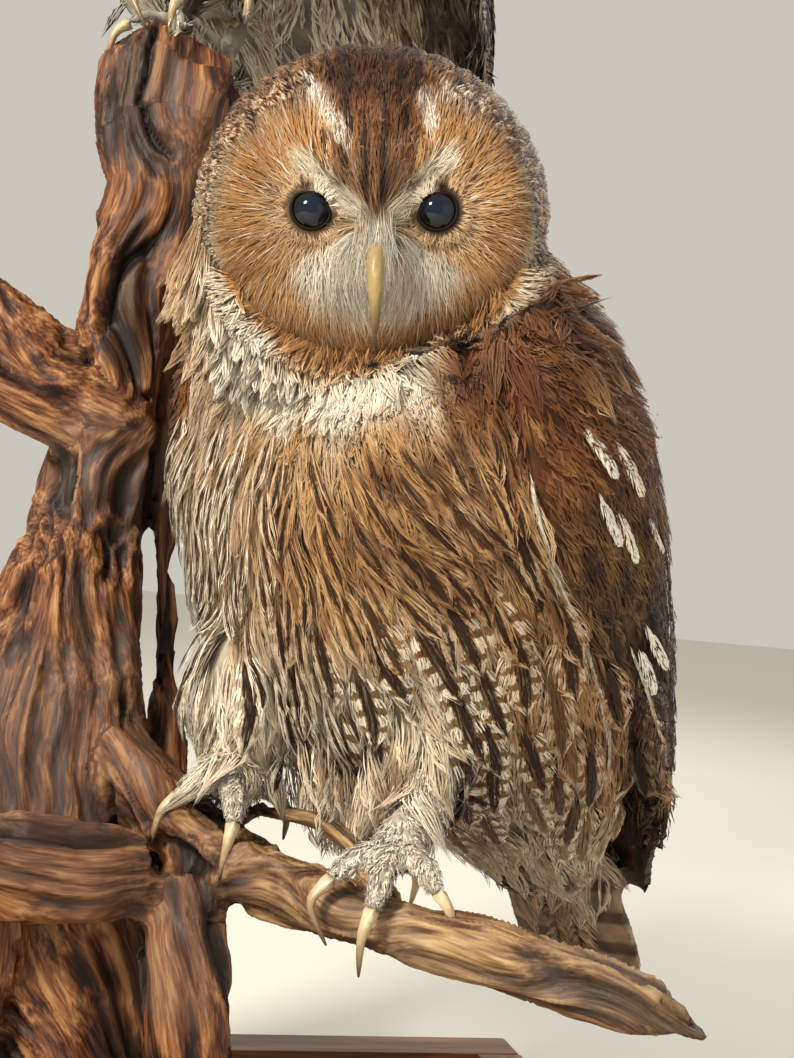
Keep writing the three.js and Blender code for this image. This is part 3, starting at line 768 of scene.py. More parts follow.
def plumage(name, ground, warm, white, dark, down_and_shade_factor=1.0):
    """Keratin with two pigments. `ground` and `dark` are hex colours, `warm` runs from buff to rufous."""
    made, tree, shader = new_material(name, Roughness=0.72, Specular_IOR_Level=0.25, Sheen_Weight=0.12)
    shader.inputs["Sheen Roughness"].default_value = 0.4
    maths, mix, texture = "Math", "MixRGB", "TexNoise"
    value = {
        key: add_node(tree, "Attribute", attribute_name=key).outputs["Fac"]
        for key in ("dark", "warm", "pale", "tone", "strand", "along", "aside", "streak", "bar", "gap")
    }
    place = add_node(tree, "TexCoord").outputs["Object"]
    fleck = add_node(tree, texture, {"Vector": place, "Scale": 1 / (FLECK * MM), "Detail": 2.0})
    mark, depth, blank = feather_pattern(tree, value, fleck)

    coloured = add_node(tree, maths, (1.0, blank), operation="SUBTRACT")
    unmarked = add_node(tree, maths, (1.0, mark), operation="SUBTRACT", use_clamp=True)
    warm_ground = add_node(tree, maths, (value["warm"], coloured), operation="MULTIPLY")
    warmth = add_node(tree, maths, (mark, 0.2, warm_ground), operation="MULTIPLY_ADD")
    pale_ground = add_node(tree, maths, (value["pale"], coloured), operation="MULTIPLY")
    pale_or_blank = add_node(tree, maths, (blank, 0.85, pale_ground), operation="MULTIPLY_ADD")
    paleness = add_node(tree, maths, (pale_or_blank, unmarked), operation="MULTIPLY")
    dark_ground = add_node(tree, maths, (value["dark"], coloured), operation="MULTIPLY")
    darkness = add_node(tree, maths, (dark_ground, depth), operation="MAXIMUM")
    pigments = [(0.0, ground), (0.5, warm[0]), (1.0, warm[1])]
    hue = add_node(tree, "ValToRGB", {"Fac": warmth}, stops=pigments)
    light = add_node(tree, mix, {"Fac": paleness, "Color1": hue, "Color2": linear(white)})
    deep = add_node(tree, mix, {"Fac": darkness, "Color1": light, "Color2": linear(dark)})

    strand = {"W": value["strand"], "Scale": 1.6, "Detail": 1.0}
    barbs = add_node(tree, texture, strand, noise_dimensions="1D")
    # down_and_shade_factor darkens the whole colour: on the skin, its greyer down and painted shade of the
    # depth under the coat.
    shade = add_node(tree, maths, (value["tone"], 0.76 * down_and_shade_factor, 0.32 * down_and_shade_factor), operation="MULTIPLY_ADD")
    flecked = add_node(tree, maths, (fleck, 0.4, 0.8), operation="MULTIPLY_ADD")
    barbed = add_node(tree, maths, (barbs, 1.3, 0.38), operation="MULTIPLY_ADD")
    shaded = add_node(tree, maths, (shade, flecked), operation="MULTIPLY")
    final_shade = add_node(tree, maths, (shaded, barbed), operation="MULTIPLY")
    final = add_node(tree, mix, {"Fac": 1.0, "Color1": deep, "Color2": final_shade}, blend_type="MULTIPLY")
    tree.links.new(final.outputs["Color"], shader.inputs["Base Color"])
    return made


TAWNY = dict(ground="#e4d3b2", warm=("#c0925c", "#87491f"), white="#f6f1e6", dark="#2d180c")
tawny_coat = plumage("tawny_plumage_keratin", **TAWNY)
# The skin's copy is darker all over: the down, and painted shade of the depth under the coat.
tawny_skin = plumage("tawny_skin_down_and_painted_shade", **TAWNY, down_and_shade_factor=0.62)

# %% [markdown]
# ## Markings
# The markings are functions of the place on the bird. On the head: a dark wedge from crown to bill, two
# white stripes beside it, grey-white brows and bristles that make an X, a warm disc and a barred rim.
# On the body: a white bib, a golden breast with dark streaks, a whiter belly and buff flanks.

# %% Markings of the head and the body


HASH_FACTORS, HASH_SCALE = (12.9898, 78.233, 37.719, 91.171), 43758.5453


def hashed(*keys):
    """A repeatable number from 0 to 1 for whole-number keys."""
    mixed = sum(key * factor for key, factor in zip(keys, HASH_FACTORS))
    return np.modf(np.abs(np.sin(mixed) * HASH_SCALE))[0]


def soft_noise(points, scale, seed=0.0):
    """Smooth noise from -1 to 1 with features `scale` mm across."""
    places = np.asarray(points, float) / (scale * MM) + seed
    base = np.floor(places)
    part = places - base
    part = part * part * (3 - 2 * part)
    total = 0
    for corner in itertools.product((0, 1), repeat=3):
        weight = np.where(corner, part, 1 - part).prod(-1)
        total = total + weight * hashed(*(base + corner).T)
    return 2 * total - 1


def feather_rows(across, along, width, length, seed, bars=4, fine=1.5):
    """Markings that fall in rows, as on feathers that overlap: a dark line down the middle of each cell of
    `width` by `length` mm, bars beside it, and what lies between the bars."""
    column = np.floor(across / width)
    shifted = along / length + hashed(column, seed)
    row = np.floor(shifted)
    chance, nudge, lean = (hashed(column, row, seed + k) for k in (1, 2, 3))
    down = shifted - row
    aside = across - (column + 0.5 + 0.3 * (nudge - 0.5) + 0.16 * (lean - 0.5) * (down - 0.5)) * width
    far = np.abs(aside)
    bold = smooth_step(0.12, 0.5, chance)
    line = bold * smooth_step(fine, fine * 0.3, far)
    line = line * smooth_step(0.02, 0.2, down) * smooth_step(1.0, 0.8, down)
    wave = np.cos(2 * np.pi * (bars * down + far / width * 0.9))
    near = smooth_step(0.46 * width, 0.26 * width, far)
    cross = bold * smooth_step(0.25, 0.75, wave) * near * smooth_step(0.05, 0.25, down)
    gap = smooth_step(0.2, -0.5, wave) * near * smooth_step(fine * 0.6, fine * 1.3, far)
    return line, cross, gap


def head_marks(local, uneven):
    """How dark, warm and pale the head is at places in its frame. `uneven` is noise from -1 to 1."""
    x, y, z = local.T
    rim = np.maximum(disc_rim(local), 1.3 * smooth_step(-14, -2, y))
    front = smooth_step(-8, -20, y)
    disc = front * smooth_step(1.0, 0.95, rim)
    wedge = smooth_step(1.2, -1.2, np.abs(x) - wedge_half(z) + 1.5 * uneven) * (z > -11) * front
    crown = smooth_step(0.97, 1.03, rim) * smooth_step(6, 26, z)
    nape = smooth_step(-6, 14, y)
    stripes = front * np.maximum.reduce([near_line(x + 1.5 * uneven, z, *stripe) for stripe in STRIPES])
    stripes = stripes * smooth_step(0.85, 0.2, np.cos(1.15 * z + 0.9 * x + 3 * uneven))
    brows = front * np.maximum.reduce([near_line(x, z, *brow) for brow in BROWS])
    above_bill = z - BILL_BASE[2]
    from_below = np.degrees(np.arctan2(np.abs(x), -above_bill))
    fan = disc * smooth_step(68, 54, from_below) * smooth_step(38, 31, np.hypot(x, above_bill) + 2 * uneven)
    fan = fan * smooth_step(-8, -12, z)
    beside_eye, above_eye = np.abs(x) - EYES[0, 0], z - EYES[0, 2]
    eye_far = np.hypot(beside_eye, above_eye)
    to_bill = 0.7 * (above_eye - beside_eye) / np.maximum(eye_far, 0.1)
    fold = smooth_step(0.5, 0.85, to_bill) * smooth_step(14, 9, eye_far) * front
    # A dark ring round each eye: partly the lid's own dark feathers, partly painted shade of the eye's
    # recess.
    socket = smooth_step(9.6, 8.2, eye_far) * (1 - fold) * front
    # Painted shadow: a dark band over each eye, where the brow overhangs it.
    painted_brow_shadow = near_line(np.abs(x), z, (14, 3), (24, 5.5), 2.8) * disc
    beside_bill = near_line(np.abs(x), z, (2, -8), (12, -10), 2.6)
    chin = smooth_step(-42, -45, z + uneven) * front * smooth_step(35, 25, np.abs(x + 5))
    under_chin = smooth_step(40, 28, np.abs(x + 10)) * smooth_step(-40, -50, z)
    thin = np.maximum(smooth_step(1.2, 1.12, rim), under_chin)
    low_rim = smooth_step(0.96, 1.02, rim) * smooth_step(-16, -26, z) * smooth_step(14, -4, y)
    low_rim = low_rim * (1 - chin) * thin
    side = smooth_step(0.99, 1.03, rim) * (1 - crown) * (1 - nape) * (1 - low_rim) * (1 - chin)
    inner = smooth_step(22, 12, eye_far) * disc

    around = 60 * np.arctan2(x, z - DISC["low"])
    line, cross, _ = feather_rows(around, 50 * rim, 4.4, 6.5, 5, bars=2, fine=0.9)
    small = np.clip(line + cross, 0, 1)
    top_line, top_cross, top_gap = feather_rows(x, np.hypot(y + 60, z), 6.5, 9, 6, bars=2, fine=1.8)
    mottle = np.clip(crown + 0.8 * wedge + 0.7 * nape, 0, 1) * np.clip(top_line + 0.7 * top_cross, 0, 1)

    dark = 0.38 * crown + 0.4 * wedge + 0.75 * mottle + 0.85 * socket + 0.55 * painted_brow_shadow + 0.3 * nape
    dark = dark + 0.1 * smooth_step(0.7, 0.98, rim) * disc + 0.02 * disc + 0.1 * uneven * disc
    dark = dark + 0.7 * small * np.clip(side + 0.6 * low_rim + 0.7 * chin, 0, 1) + 0.24 * side
    cloud = smooth_step(0.1, 0.9, soft_noise(local * MM, 13, 9.0))
    # The disc grows darker towards the bird's left: painted shade of the side turned from the key light.
    dark = dark + 0.16 * disc * cloud + 0.14 * disc * smooth_step(0, 30, x)
    dark_rim = smooth_step(0.92, 0.99, rim) * smooth_step(1.06, 1.0, rim) * front
    dark = dark + 0.5 * dark_rim * smooth_step(-20, -4, z)
    warm = 0.57 * disc * (1 - wedge) + 0.8 * wedge + 0.72 * crown + 0.46 * nape + 0.44 * side
    warm = warm + 0.12 * smooth_step(0.5, 0.9, rim) * disc - 0.1 * inner + 0.1 * uneven * disc
    grey = np.maximum.reduce([brows, fan, 0.9 * fold]) * (1 - painted_brow_shadow * (1 - fold))
    # Painted shade: the bristle fan is darker on the bird's left, the side turned from the key light.
    dark = dark + 0.16 * fan * smooth_step(0, 16, x)
    warm = warm * (1 - 0.92 * grey) * (1 - chin) + 0.68 * chin + 0.2 * low_rim * smooth_step(-40, -58, x)
    low_rim = low_rim * (1 - 0.5 * smooth_step(-40, -58, x))
    calm = np.clip(stripes + 0.75 * grey + 0.5 * low_rim * (1 - small), 0, 1)
    dark = np.maximum(dark * (1 - 0.85 * calm) + 0.12 * grey, 0.55 * beside_bill * (z > -13))
    pale = np.maximum.reduce(
        [stripes, 0.4 * brows, 0.4 * fold, 0.74 * fan, 0.84 * low_rim, 0.12 * side, 0.14 * inner]
    )
    pale = pale + 0.5 * crown * top_gap * smooth_step(16, 30, np.abs(x)) + 0.12 * uneven * fan
    return np.clip([dark, warm, pale], 0, 1)


def some_of(count, share, seed=7):
    """1 for about `share` of a number of feathers, less for the rest."""
    return 0.3 + 0.7 * smooth_step(share, share - 0.2, np.random.default_rng(seed).random(count))


def breast_streaks(bird, roots):
    """How strong the shaft streaks, side bars and white gaps of breast and belly feathers are."""
    x, y, z = inside(roots, bird.body).T
    front = smooth_step(34, 4, y)
    bib = smooth_step(62, 76, z)
    low = smooth_step(46, 12, z)
    swirl = np.exp(-(((x - 44) / 28) ** 2 + ((z - 46) / 34) ** 2))
    gold = np.exp(-(((x - 4) / 24) ** 2 + ((z - 40) / 24) ** 2))
    middle = np.exp(-(((x - 30) / 34) ** 2)) * smooth_step(-95, -60, z)
    line = front * (1 - 0.85 * bib) * np.clip(0.85 + 0.3 * low + 0.4 * swirl - 0.3 * gold, 0, 1)
    line = line * (0.45 + 0.55 * smooth_step(-100, -60, z))
    cross = front * (1 - bib) * np.clip(low * (0.3 + 0.8 * middle) + 0.5 * swirl + 0.2, 0, 1)
    gap = front * np.clip(0.8 * low * (0.35 + 0.65 * middle) + 0.3 * smooth_step(0, -36, x), 0, 1)
    return np.stack([line, cross, gap]) * some_of(len(x), 1.1)


def faint_streaks(bird, roots):
    """The same on the softer feathers beneath, of which only some are marked."""
    return breast_streaks(bird, roots) * (some_of(len(roots), 0.4, 8) - 0.2) * np.array([[0.8], [0.6], [0.5]])


def crown_streaks(bird, roots):
    """Crown and nape feathers: a dark shaft and cream spots, plainest in the middle of the crown."""
    x, _, z = inside(roots, bird.head).T
    aside = smooth_step(14, 30, np.abs(x))
    chosen = some_of(len(x), 0.6, 9)
    strengths = np.stack([0.8 + 0 * x, 0.2 + 0.3 * aside, 0.2 * aside * smooth_step(12, 40, z)])
    return strengths * chosen * smooth_step(-34, -14, z)


def rim_streaks(bird, roots):
    """White feathers of the lower rim of the disc, each with a black shaft and some with bars."""
    return np.array([[0.95], [0.5], [0.0]]) * some_of(len(roots), 0.75, 10)


def pencil_streaks(bird, roots):
    """Narrow shaft streaks, with white beside them on the outer side of the breast."""
    x, _, z = inside(roots, bird.body).T
    aside = smooth_step(4, -30, x) + 0.7 * smooth_step(10, -20, z)
    return np.stack([1.0 + 0 * x, 0.3 + 0 * x, np.clip(0.8 * aside, 0, 0.85)]) * some_of(len(x), 0.95, 11)


def body_marks(local, area, uneven):
    """How dark, warm and pale the body is at places in its frame. `uneven` is noise from -1 to 1."""
    x, y, z = local.T
    front = smooth_step(34, 4, y)
    bib = smooth_step(66, 80, z + 6 * uneven) * smooth_step(50, 34, np.abs(x - 6)) * front
    belly = smooth_step(14, -26, z) * smooth_step(78, 58, x) * front
    swirl = np.exp(-(((x - 46) / 26) ** 2 + ((z - 50) / 32) ** 2)) * front
    flank = smooth_step(52, 68, x) * smooth_step(20, -10, z) * front
    left_side = smooth_step(-10, -44, x) * front
    back = 1 - front
    gold = np.exp(-(((x - 8) / 34) ** 2 + ((z - 34) / 30) ** 2)) * front

    turned = 35.4 * np.exp(-(((x - 38) / 34) ** 2)) * (1 - np.tanh(1.2 * (z - 48) / 40)) * 0.75
    across = 72 * np.arctan2(x, 38 - y) - turned
    line, cross, gap = feather_rows(across + 2.5 * uneven, -z, 13, 30, 1, bars=3.5, fine=2.7)
    thin_line, thin_cross, _ = feather_rows(across + 2 * uneven, -z, 7.5, 17, 2, bars=3, fine=1.2)
    low = np.clip(belly + 0.6 * flank, 0, 1)
    streaky = np.clip(0.7 + 0.5 * low + 0.5 * swirl + 0.1 * left_side - 0.3 * gold, 0, 1.1) * (1 - 0.85 * bib)
    marked = np.clip(1.15 * line + (0.4 + 0.5 * low) * cross, 0, 1.1) * streaky
    fine_marks = np.clip(thin_line + 0.4 * thin_cross, 0, 1) * (1 - low) * (0.4 + 0.3 * left_side)
    shoulder = smooth_step(36, 50, x + 0.5 * (z - 90)) * smooth_step(58, 76, z) * front
    warm = 0.34 * front + 0.2 * swirl + 0.14 * gold + 0.2 * flank + 0.6 * back - 0.3 * bib - 0.16 * belly
    warm = warm + 0.2 * np.clip(marked + cross * streaky * 0.5, 0, 1) + 0.3 * fine_marks + 0.5 * shoulder
    pale = 0.66 * bib + 0.2 * belly - 0.2 * flank + 0.14 * left_side + 0.02 * front
    pale = (pale + 0.3 * gap * low + 0.15 * gap * front) * (1 - shoulder)
    dark = 0.14 + 0.42 * back + 0.2 * swirl + 0.08 * flank + 0.35 * marked + 0.5 * fine_marks - 0.1 * bib
    dark = dark + 0.36 * shoulder + 0.12 * uneven * (1 - bib) - 0.08 * belly

    wing = np.isin(area, IS_WING)
    high_wing = smooth_step(16, 50, z)
    wing_across = 85 * np.arctan2(y + 10, np.abs(x))
    vane_line, vane_cross, vane_gap = feather_rows(wing_across, -z, 13, 19, 3, bars=3, fine=2.4)
    webs = np.clip(0.5 * vane_line + 0.8 * vane_cross, 0, 1)
    warm = np.where(wing, 0.72 + 0.2 * high_wing + 0.08 * uneven - 0.16 * vane_gap * (1 - high_wing), warm)
    pale = np.where(wing, 0.16 * vane_gap * (1 - high_wing) * smooth_step(-16, 6, y), pale)
    wing_dark = 0.56 - 0.14 * high_wing + 0.26 * smooth_step(20, -40, z)
    dark = np.where(wing, wing_dark + webs * (0.34 - 0.2 * high_wing) + 0.14 * uneven, dark)
    tail = area == IS_TAIL
    tail_bars = smooth_step(0.1, 0.6, np.cos(2 * np.pi * z / 17))
    warm, pale = np.where(tail, 0.42, warm), np.where(tail, 0.2, pale)
    dark = np.where(tail, 0.12 + 0.6 * tail_bars, dark)
    limb = np.isin(area, IS_LEG + IS_FOOT)
    warm, pale, dark = np.where(limb, 0.16, warm), np.where(limb, 0.46, pale), np.where(limb, 0.0, dark)
    foot = np.isin(area, IS_FOOT)
    warm, pale = np.where(foot, 0.36, warm), np.where(foot, 0.7, pale)
    return np.clip([dark, warm + 0.08 * uneven, pale + 0.08 * uneven], 0, 1)


def marks_at(bird, points, area):
    """The markings at places on the skin or in the coat. Only places near the head use its markings."""
    from_head = inside(points, bird.head)
    on_head = smooth_step(82, 68, np.linalg.norm(from_head, axis=1)) * np.isin(area, (IS_HEAD, IS_NECK))
    some_head, some_body = on_head > 0, on_head < 1
    marks = np.zeros((3, len(points)))
    uneven = soft_noise(points, 9, 2.0)
    marks[:, some_head] += on_head[some_head] * head_marks(from_head[some_head], uneven[some_head])
    body = body_marks(inside(points[some_body], bird.body), area[some_body], uneven[some_body])
    marks[:, some_body] += (1 - on_head[some_body]) * body
    return marks


def finish_skin(bird, material, slot, *names):
    """Gives a skin its markings and its place in the model."""
    dark, warm, pale = marks_at(bird, bird.points, bird.region)
    set_values(bird.skin, dark=dark, warm=warm, pale=pale, tone=0.5 + 0.5 * soft_noise(bird.points, 5, 3.0))
    bird.skin.data.materials.clear()
    bird.skin.data.materials.append(material)
    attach(bird.skin, "root")
    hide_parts(*names)


finish_skin(owl, tawny_skin, "plumage", *FLESH)

# %% [markdown]
# ## Painting a feather
# On a streaked feather a dark band follows the shaft and crossbars run out from it, with a warm tinge
# between, and the edge stays pale. Every kind of feather here is a mix of that streak, those bars, a
# tip and the ground colour of its place.

# %% Painter for streaks, bars and tips


def painter(
    bird, area, seed, bars=0.0, turns=3.0, edge=0.0, tip=0.0, unlike=0.06, plain=None, streak=None,
    gap=0.0, fair=0.0,
):
    """Gives a function that paints places on feathers: the markings of the place, a pale edge and a pale
    tip, and for the feather's own pattern its place along and across it and how strong its bars, its
    shaft streak and the white between them are. Feathers differ by `unlike`; `plain` is a fixed set of
    marks; `streak` holds each feather's own strengths of streak, bars and white; `fair` is the share of
    feathers that are pale all over."""
    rng = np.random.default_rng(seed)
    count = len(area)
    shy = rng.random((count, 1))
    paler = 1 + rng.normal(0, 3 * unlike, (count, 1))
    darker = np.abs(rng.normal(0, unlike, (count, 1)))
    warmer = rng.normal(0, 0.07, (count, 1))
    line, cross, blank = (0.0, bars, gap) if streak is None else (row[:, None] for row in streak)
    faded = 0.45 * (rng.random((count, 1)) < fair)

    def paint(u, w, places):
        """The values of places at shares `u` of the length and `w` of the half width."""
        if plain:
            dark, warm, pale = (value + 0 * u for value in plain)
        else:
            spots = np.repeat(area, u.shape[1])
            dark, warm, pale = marks_at(bird, places.reshape(-1, 3), spots).reshape(3, *u.shape)
        end = tip * smooth_step(0.75, 0.97, u)
        rim = edge * smooth_step(0.5, 0.95, np.abs(w)) * (0.4 + 0.6 * shy)
        shown = smooth_step(0.1, 0.34, u)
        return {
            "dark": np.clip((dark + darker) * (1 - 0.7 * rim) - 0.5 * end, 0, 1),
            "warm": np.clip(warm + warmer, 0, 1),
            "pale": np.clip(pale * paler + rim + end + faded, 0, 1),
            "along": turns * u - 0.4 * np.abs(w) + shy,
            "aside": np.abs(w),
            "streak": line * shown,
            "bar": cross * shown,
            "gap": blank * shown,
        }

    return paint


def feathered(bird, roots, kind, seed, streaks=None, **paint):
    """Feathers of one kind at their roots, painted for their places."""
    _, _, area = bird.nearest(roots)
    if streaks:
        paint["streak"] = streaks(bird, roots)
    return grow(bird, roots, kind, painter(bird, area, seed, **paint), seed + 1)


# %% [markdown]
# ## The face
# The facial disc is a dish of hair-like feathers, so it gets thousands of fine filaments that radiate
# from the eyes and grow shorter towards the rim, with longer grey-white bristles about the bill.

# %% Areas of the face
EYE_HOLE = 9.0  # mm from the middle of an eye to the first filaments of the disc
HEAD_SKIN = 76  # mm from the middle of the head to which its skin is covered from the head


def is_head_skin(at):
    return np.isin(at.part, (IS_HEAD, IS_NECK)) & (np.linalg.norm(at.head, axis=1) < HEAD_SKIN)


def eye_gap(head):
    """How far places in the head's frame are from the nearer eye, seen from in front, mm."""
    return np.minimum(*(np.hypot(head[:, 0] - eye[0], head[:, 2] - eye[2]) for eye in EYES))


def face_area(at):
    in_disc = (disc_rim(at.head) < 1.0) & (at.head[:, 1] < -16)
    return in_disc & is_head_skin(at) & (eye_gap(at.head) > EYE_HOLE)


def bristle_area(at):
    """The space between the eyes and beside the bill."""
    x, _, z = at.head.T
    return face_area(at) & (np.abs(x) < 10 + 0.5 * (-12 - z)) & (z < 1) & (z > -30)


def bill_cover_area(at):
    """Beside and above the root of the bill, where the bristles fall over it."""
    x, y, z = at.head.T
    beside = (np.abs(x) < 6.5) & (np.abs(x) > 0.5)
    return beside & (z < -3) & (z > -16) & (y < -30) & is_head_skin(at)


def sized(part, axis, size, more, start, end):
    """Sizes of feathers that change along an axis of the head or the body: `size` up to `start`, and
    `more` is added from there to `end`."""

    def size_at(bird, roots):
        return size + more * smooth_step(start, end, inside(roots, getattr(bird, part))[:, axis])

    return size_at


def filament_size(bird, roots):
    """Shorter beside the eyes and next to the rim, so that filaments end on it."""
    head = inside(roots, bird.head)
    to_rim = (1.0 - disc_rim(head)) * DISC["half_width"]
    return (0.42 + 0.58 * smooth_step(8, 22, eye_gap(head))) * np.clip(0.26 + to_rim / 13, 0.26, 1)


# %% [markdown]
# Some feathers don't follow the skin: the bristles over the bill, the short filaments on the lids, and
# the white-barred ones of the lower rim. They are placed one by one and stand free in given directions.

# %% Free feathers of the face


def facing_forwards(bird, heading):
    """Headings in the head's frame and the normals nearest to straight ahead, both as the model's."""
    normal = unit(np.cross(np.cross(heading, (0, -1, 0)), heading))
    return heading @ bird.head[1].T, normal @ bird.head[1].T


def over_bill(bird, roots):
    """Headings of the bristles that start above the bill and fall over both sides of its root."""
    head = inside(roots, bird.head)
    x, level = head[:, 0], 0 * head[:, 0]
    aim = np.stack([1.1 * np.sign(x) + 0.25 * x, level - 47.5, level - 30], 1)
    return facing_forwards(bird, unit(aim - head))


def round_eye(bird, roots):
    """Headings away from the nearer eye and a little forwards."""
    head = inside(roots, bird.head)
    away = head - np.where(head[:, :1] > 0, EYES[:1], EYES[1:])
    away[:, 1] = 0
    return facing_forwards(bird, unit(unit(away) + (0, -0.12, 0)))


def from_disc(bird, roots):
    """Headings away from the middle of the disc and forwards."""
    away = inside(roots, bird.head) - np.array([0, 0, DISC["low"]])
    away[:, 1] = -0.22 * np.hypot(away[:, 0], away[:, 2])
    return facing_forwards(bird, unit(away))


FOLD_START, LID_START, LID_END = 5.2, 7.8, 10.4  # mm from the middle of an eye
LID_DEPTHS = (-9.4, -8.0, -5.6)  # where the lid lies along Y at each of those, mm


def lid_roots(bird, count, seed):
    """Places on the lids: all round each eye, and on the fold at its upper inner side."""
    rng = np.random.default_rng(seed)
    angle, far = rng.uniform(0, 2 * np.pi, count), rng.uniform(LID_START, LID_END, count)
    middle = EYES[rng.integers(0, 2, count)]
    folded = rng.random(count) < 0.36
    inward = np.arctan2(1.0, -0.7 * np.sign(middle[:, 0])) + rng.normal(0, 0.34, count)
    angle = np.where(folded, inward, angle)
    far = np.where(folded, rng.uniform(FOLD_START, 9.4, count), far)
    depth = np.interp(far, (FOLD_START, LID_START, LID_END), LID_DEPTHS) - 0.6 * folded
    return outside(middle + np.stack([far * np.cos(angle), depth, far * np.sin(angle)], 1), bird.head)


def round_disc(bird, angle, rim, depth):
    """Places at an angle round the disc, at a share of its rim's distance from the middle, and a depth."""
    x, z = DISC["half_width"] * rim * np.cos(angle), DISC["low"] + DISC["half_height"] * rim * np.sin(angle)
    return outside(np.stack([x, depth, z], 1), bird.head)


def rim_roots(bird, count, seed, angles=(-160, -24), rims=None):
    """Places along the lower rim of the disc, from beside one eye round the chin to beside the other."""
    rng = np.random.default_rng(seed)
    angle = np.radians(rng.uniform(*angles, count))
    under = smooth_step(30, 20, np.abs(np.degrees(angle) + 92))
    right = smooth_step(-70, -50, np.degrees(angle))
    low, high = rims or (0.95 - 0.09 * np.maximum(under, 0.6 * right), 1.04 - 0.05 * right)
    rim = rng.uniform(low, high, count)
    return bird.nearest(round_disc(bird, angle, rim, np.full(count, -30.0)))[0]


# %% Facial disc
FILAMENT = dict(
    length=12, half=0.5, locks=1, lock=0.22, vary=0.4, lift=(0.2, 2.2), steps=3, stray=10, sweep=0.95,
    bare=0.0, loose=0.4, ruffle=0.4, stiff=0.3, crowd=1.0, bend=1.4,
)
BRISTLE = dict(FILAMENT, length=15, lock=0.15, lift=(0.4, 4.2), stray=12, ruffle=0.7, vary=0.7)
BILL_COVER = dict(BRISTLE, length=21, lift=(2.6, 6.6), stray=7, ruffle=0.9, free=over_bill, steps=2)
LID_HAIR = dict(FILAMENT, length=4.2, lift=(0.0, 0.8), free=round_eye, steps=1)
FILAMENT["size"] = BRISTLE["size"] = filament_size
RIM_HAIR = dict(
    length=13, half=1.9, locks=10, lock=0.3, lift=(1.2, 4.0), loose=1.0, sweep=0.6, stray=12, bare=0.0,
    free=from_disc, steps=2, vary=0.5, crowd=1.0, parted=0.4, bend=1.2, spread=0.9,
    size=sized("head", 2, 0.5, 0.5, -20, -34),
)
face_sets = [
    feathered(owl, scatter(owl, 13500, face_area, 11), FILAMENT, 21, tip=0.1, fair=0.1),
    feathered(owl, scatter(owl, 1900, bristle_area, 13), BRISTLE, 23, tip=0.2, unlike=0.14),
    feathered(owl, scatter(owl, 620, bill_cover_area, 15), BILL_COVER, 25, unlike=0.14),
    feathered(owl, lid_roots(owl, 1000, 17), LID_HAIR, 27),
]
coat_piece("coat_face", face_sets, tawny_coat, owl.head)

# %% [markdown]
# ## Crown, nape and the rim of the disc
# Short, dense feathers cover the crown and nape, dark with rufous sides and cream edges. Along the rim
# stands a ruff of small curled ones, barred dark and cream.

# %% Areas of the crown and the ruff


def crown_area(at):
    x, y, z = at.head.T
    outside_disc = (disc_rim(at.head) > 1.0) | (y > -14)
    wedge = (np.abs(x) < wedge_half(z) - 0.5) & (z > -9) & (y < -14)
    under_chin = (z < -40) & (y < 0) & (disc_rim(at.head) > 1.02)
    return is_head_skin(at) & (outside_disc | wedge) & ~under_chin


def ruff_area(at):
    x, y, z = at.head.T
    rim = disc_rim(at.head)
    over_wedge = (np.abs(x) < 26) & (z > 10)
    return is_head_skin(at) & (rim > 0.95) & (rim < 1.1) & (y < 0) & (z > -20) & ~over_wedge


# %% Feathers that hang from the head
HANG, CLEAR = 24, 4.5  # mm: where the hanging feathers are aimed below the head, and how far off the coat


def hanging(bird, roots):
    """Headings of the feathers that hang from the head's lower rim, each until it rests on the coat
    below, and their normals."""
    x = inside(roots, bird.head)[:, 0]
    down = unit(np.stack([0.004 * x, 0 * x - 0.16, 0 * x - 1], 1)) @ bird.head[1].T
    tips = roots + down * HANG * MM
    at, normal, _ = bird.nearest(tips)
    height = np.maximum(((tips - at) * normal).sum(1), CLEAR * MM)
    heading = unit(at + normal * height[:, None] - roots)
    ahead = -bird.head[1][:, 1]
    outward = unit(ahead + normal)
    return heading, unit(outward - (outward * heading).sum(1, keepdims=True) * heading)


def hanging_roots(bird, count, seed, angles, rims, depths):
    """Places round the rim of the disc: ranges of the angle from its left side, of the distance from its
    middle as a share of the rim's, and of how far back they lie, mm."""
    rng = np.random.default_rng(seed)
    angle, rim = np.radians(rng.uniform(*angles, count)), rng.uniform(*rims, count)
    asked = round_disc(bird, angle, rim, rng.uniform(*depths, count))
    roots = bird.nearest(asked)[0]
    return roots[np.linalg.norm(roots - asked, axis=1) < 9 * MM]


# %% Crown, nape, ruff and collar
CROWN = dict(
    length=13, half=3.4, locks=20, lock=0.28, lift=(0.2, 2.8), loose=1.0, sweep=0.5, stray=10, rise=0.7,
    bare=0.04, point=0.6, parted=0.55, vary=0.6,
)
RUFF = dict(
    length=8, half=2.4, locks=15, lock=0.28, lift=(0.4, 3.6), loose=0.8, sweep=0.5, stray=14, curl=1.4,
    stiff=0.5, bare=0.02, point=0.6, parted=0.4, vary=0.5, size=sized("head", 2, 0.75, 0.6, -16, -34),
)
FALL = dict(
    length=30, half=3.6, locks=34, lock=0.22, lift=(0.2, 3.0), loose=1.0, sweep=0.5, stray=8, bare=0.0,
    parted=0.6, vary=0.5, bend=2.5, ruffle=0.4, free=hanging,
)
SHORT_FALL = dict(FALL, length=24)
COLLAR = dict(
    FALL, length=23, half=2.4, locks=16, lock=0.25, parted=0.72, ruffle=0.25,
    size=sized("head", 0, 1, -0.4, -34, -54),
)
CHIN = dict(COLLAR, length=15, lift=(0.6, 2.6), locks=14)
LOW_RIM = dict(RIM_HAIR, length=18, half=2.2, locks=14, lift=(3.0, 7.5))
INNER_RIM = dict(RIM_HAIR, length=16, lift=(2.4, 6.0))

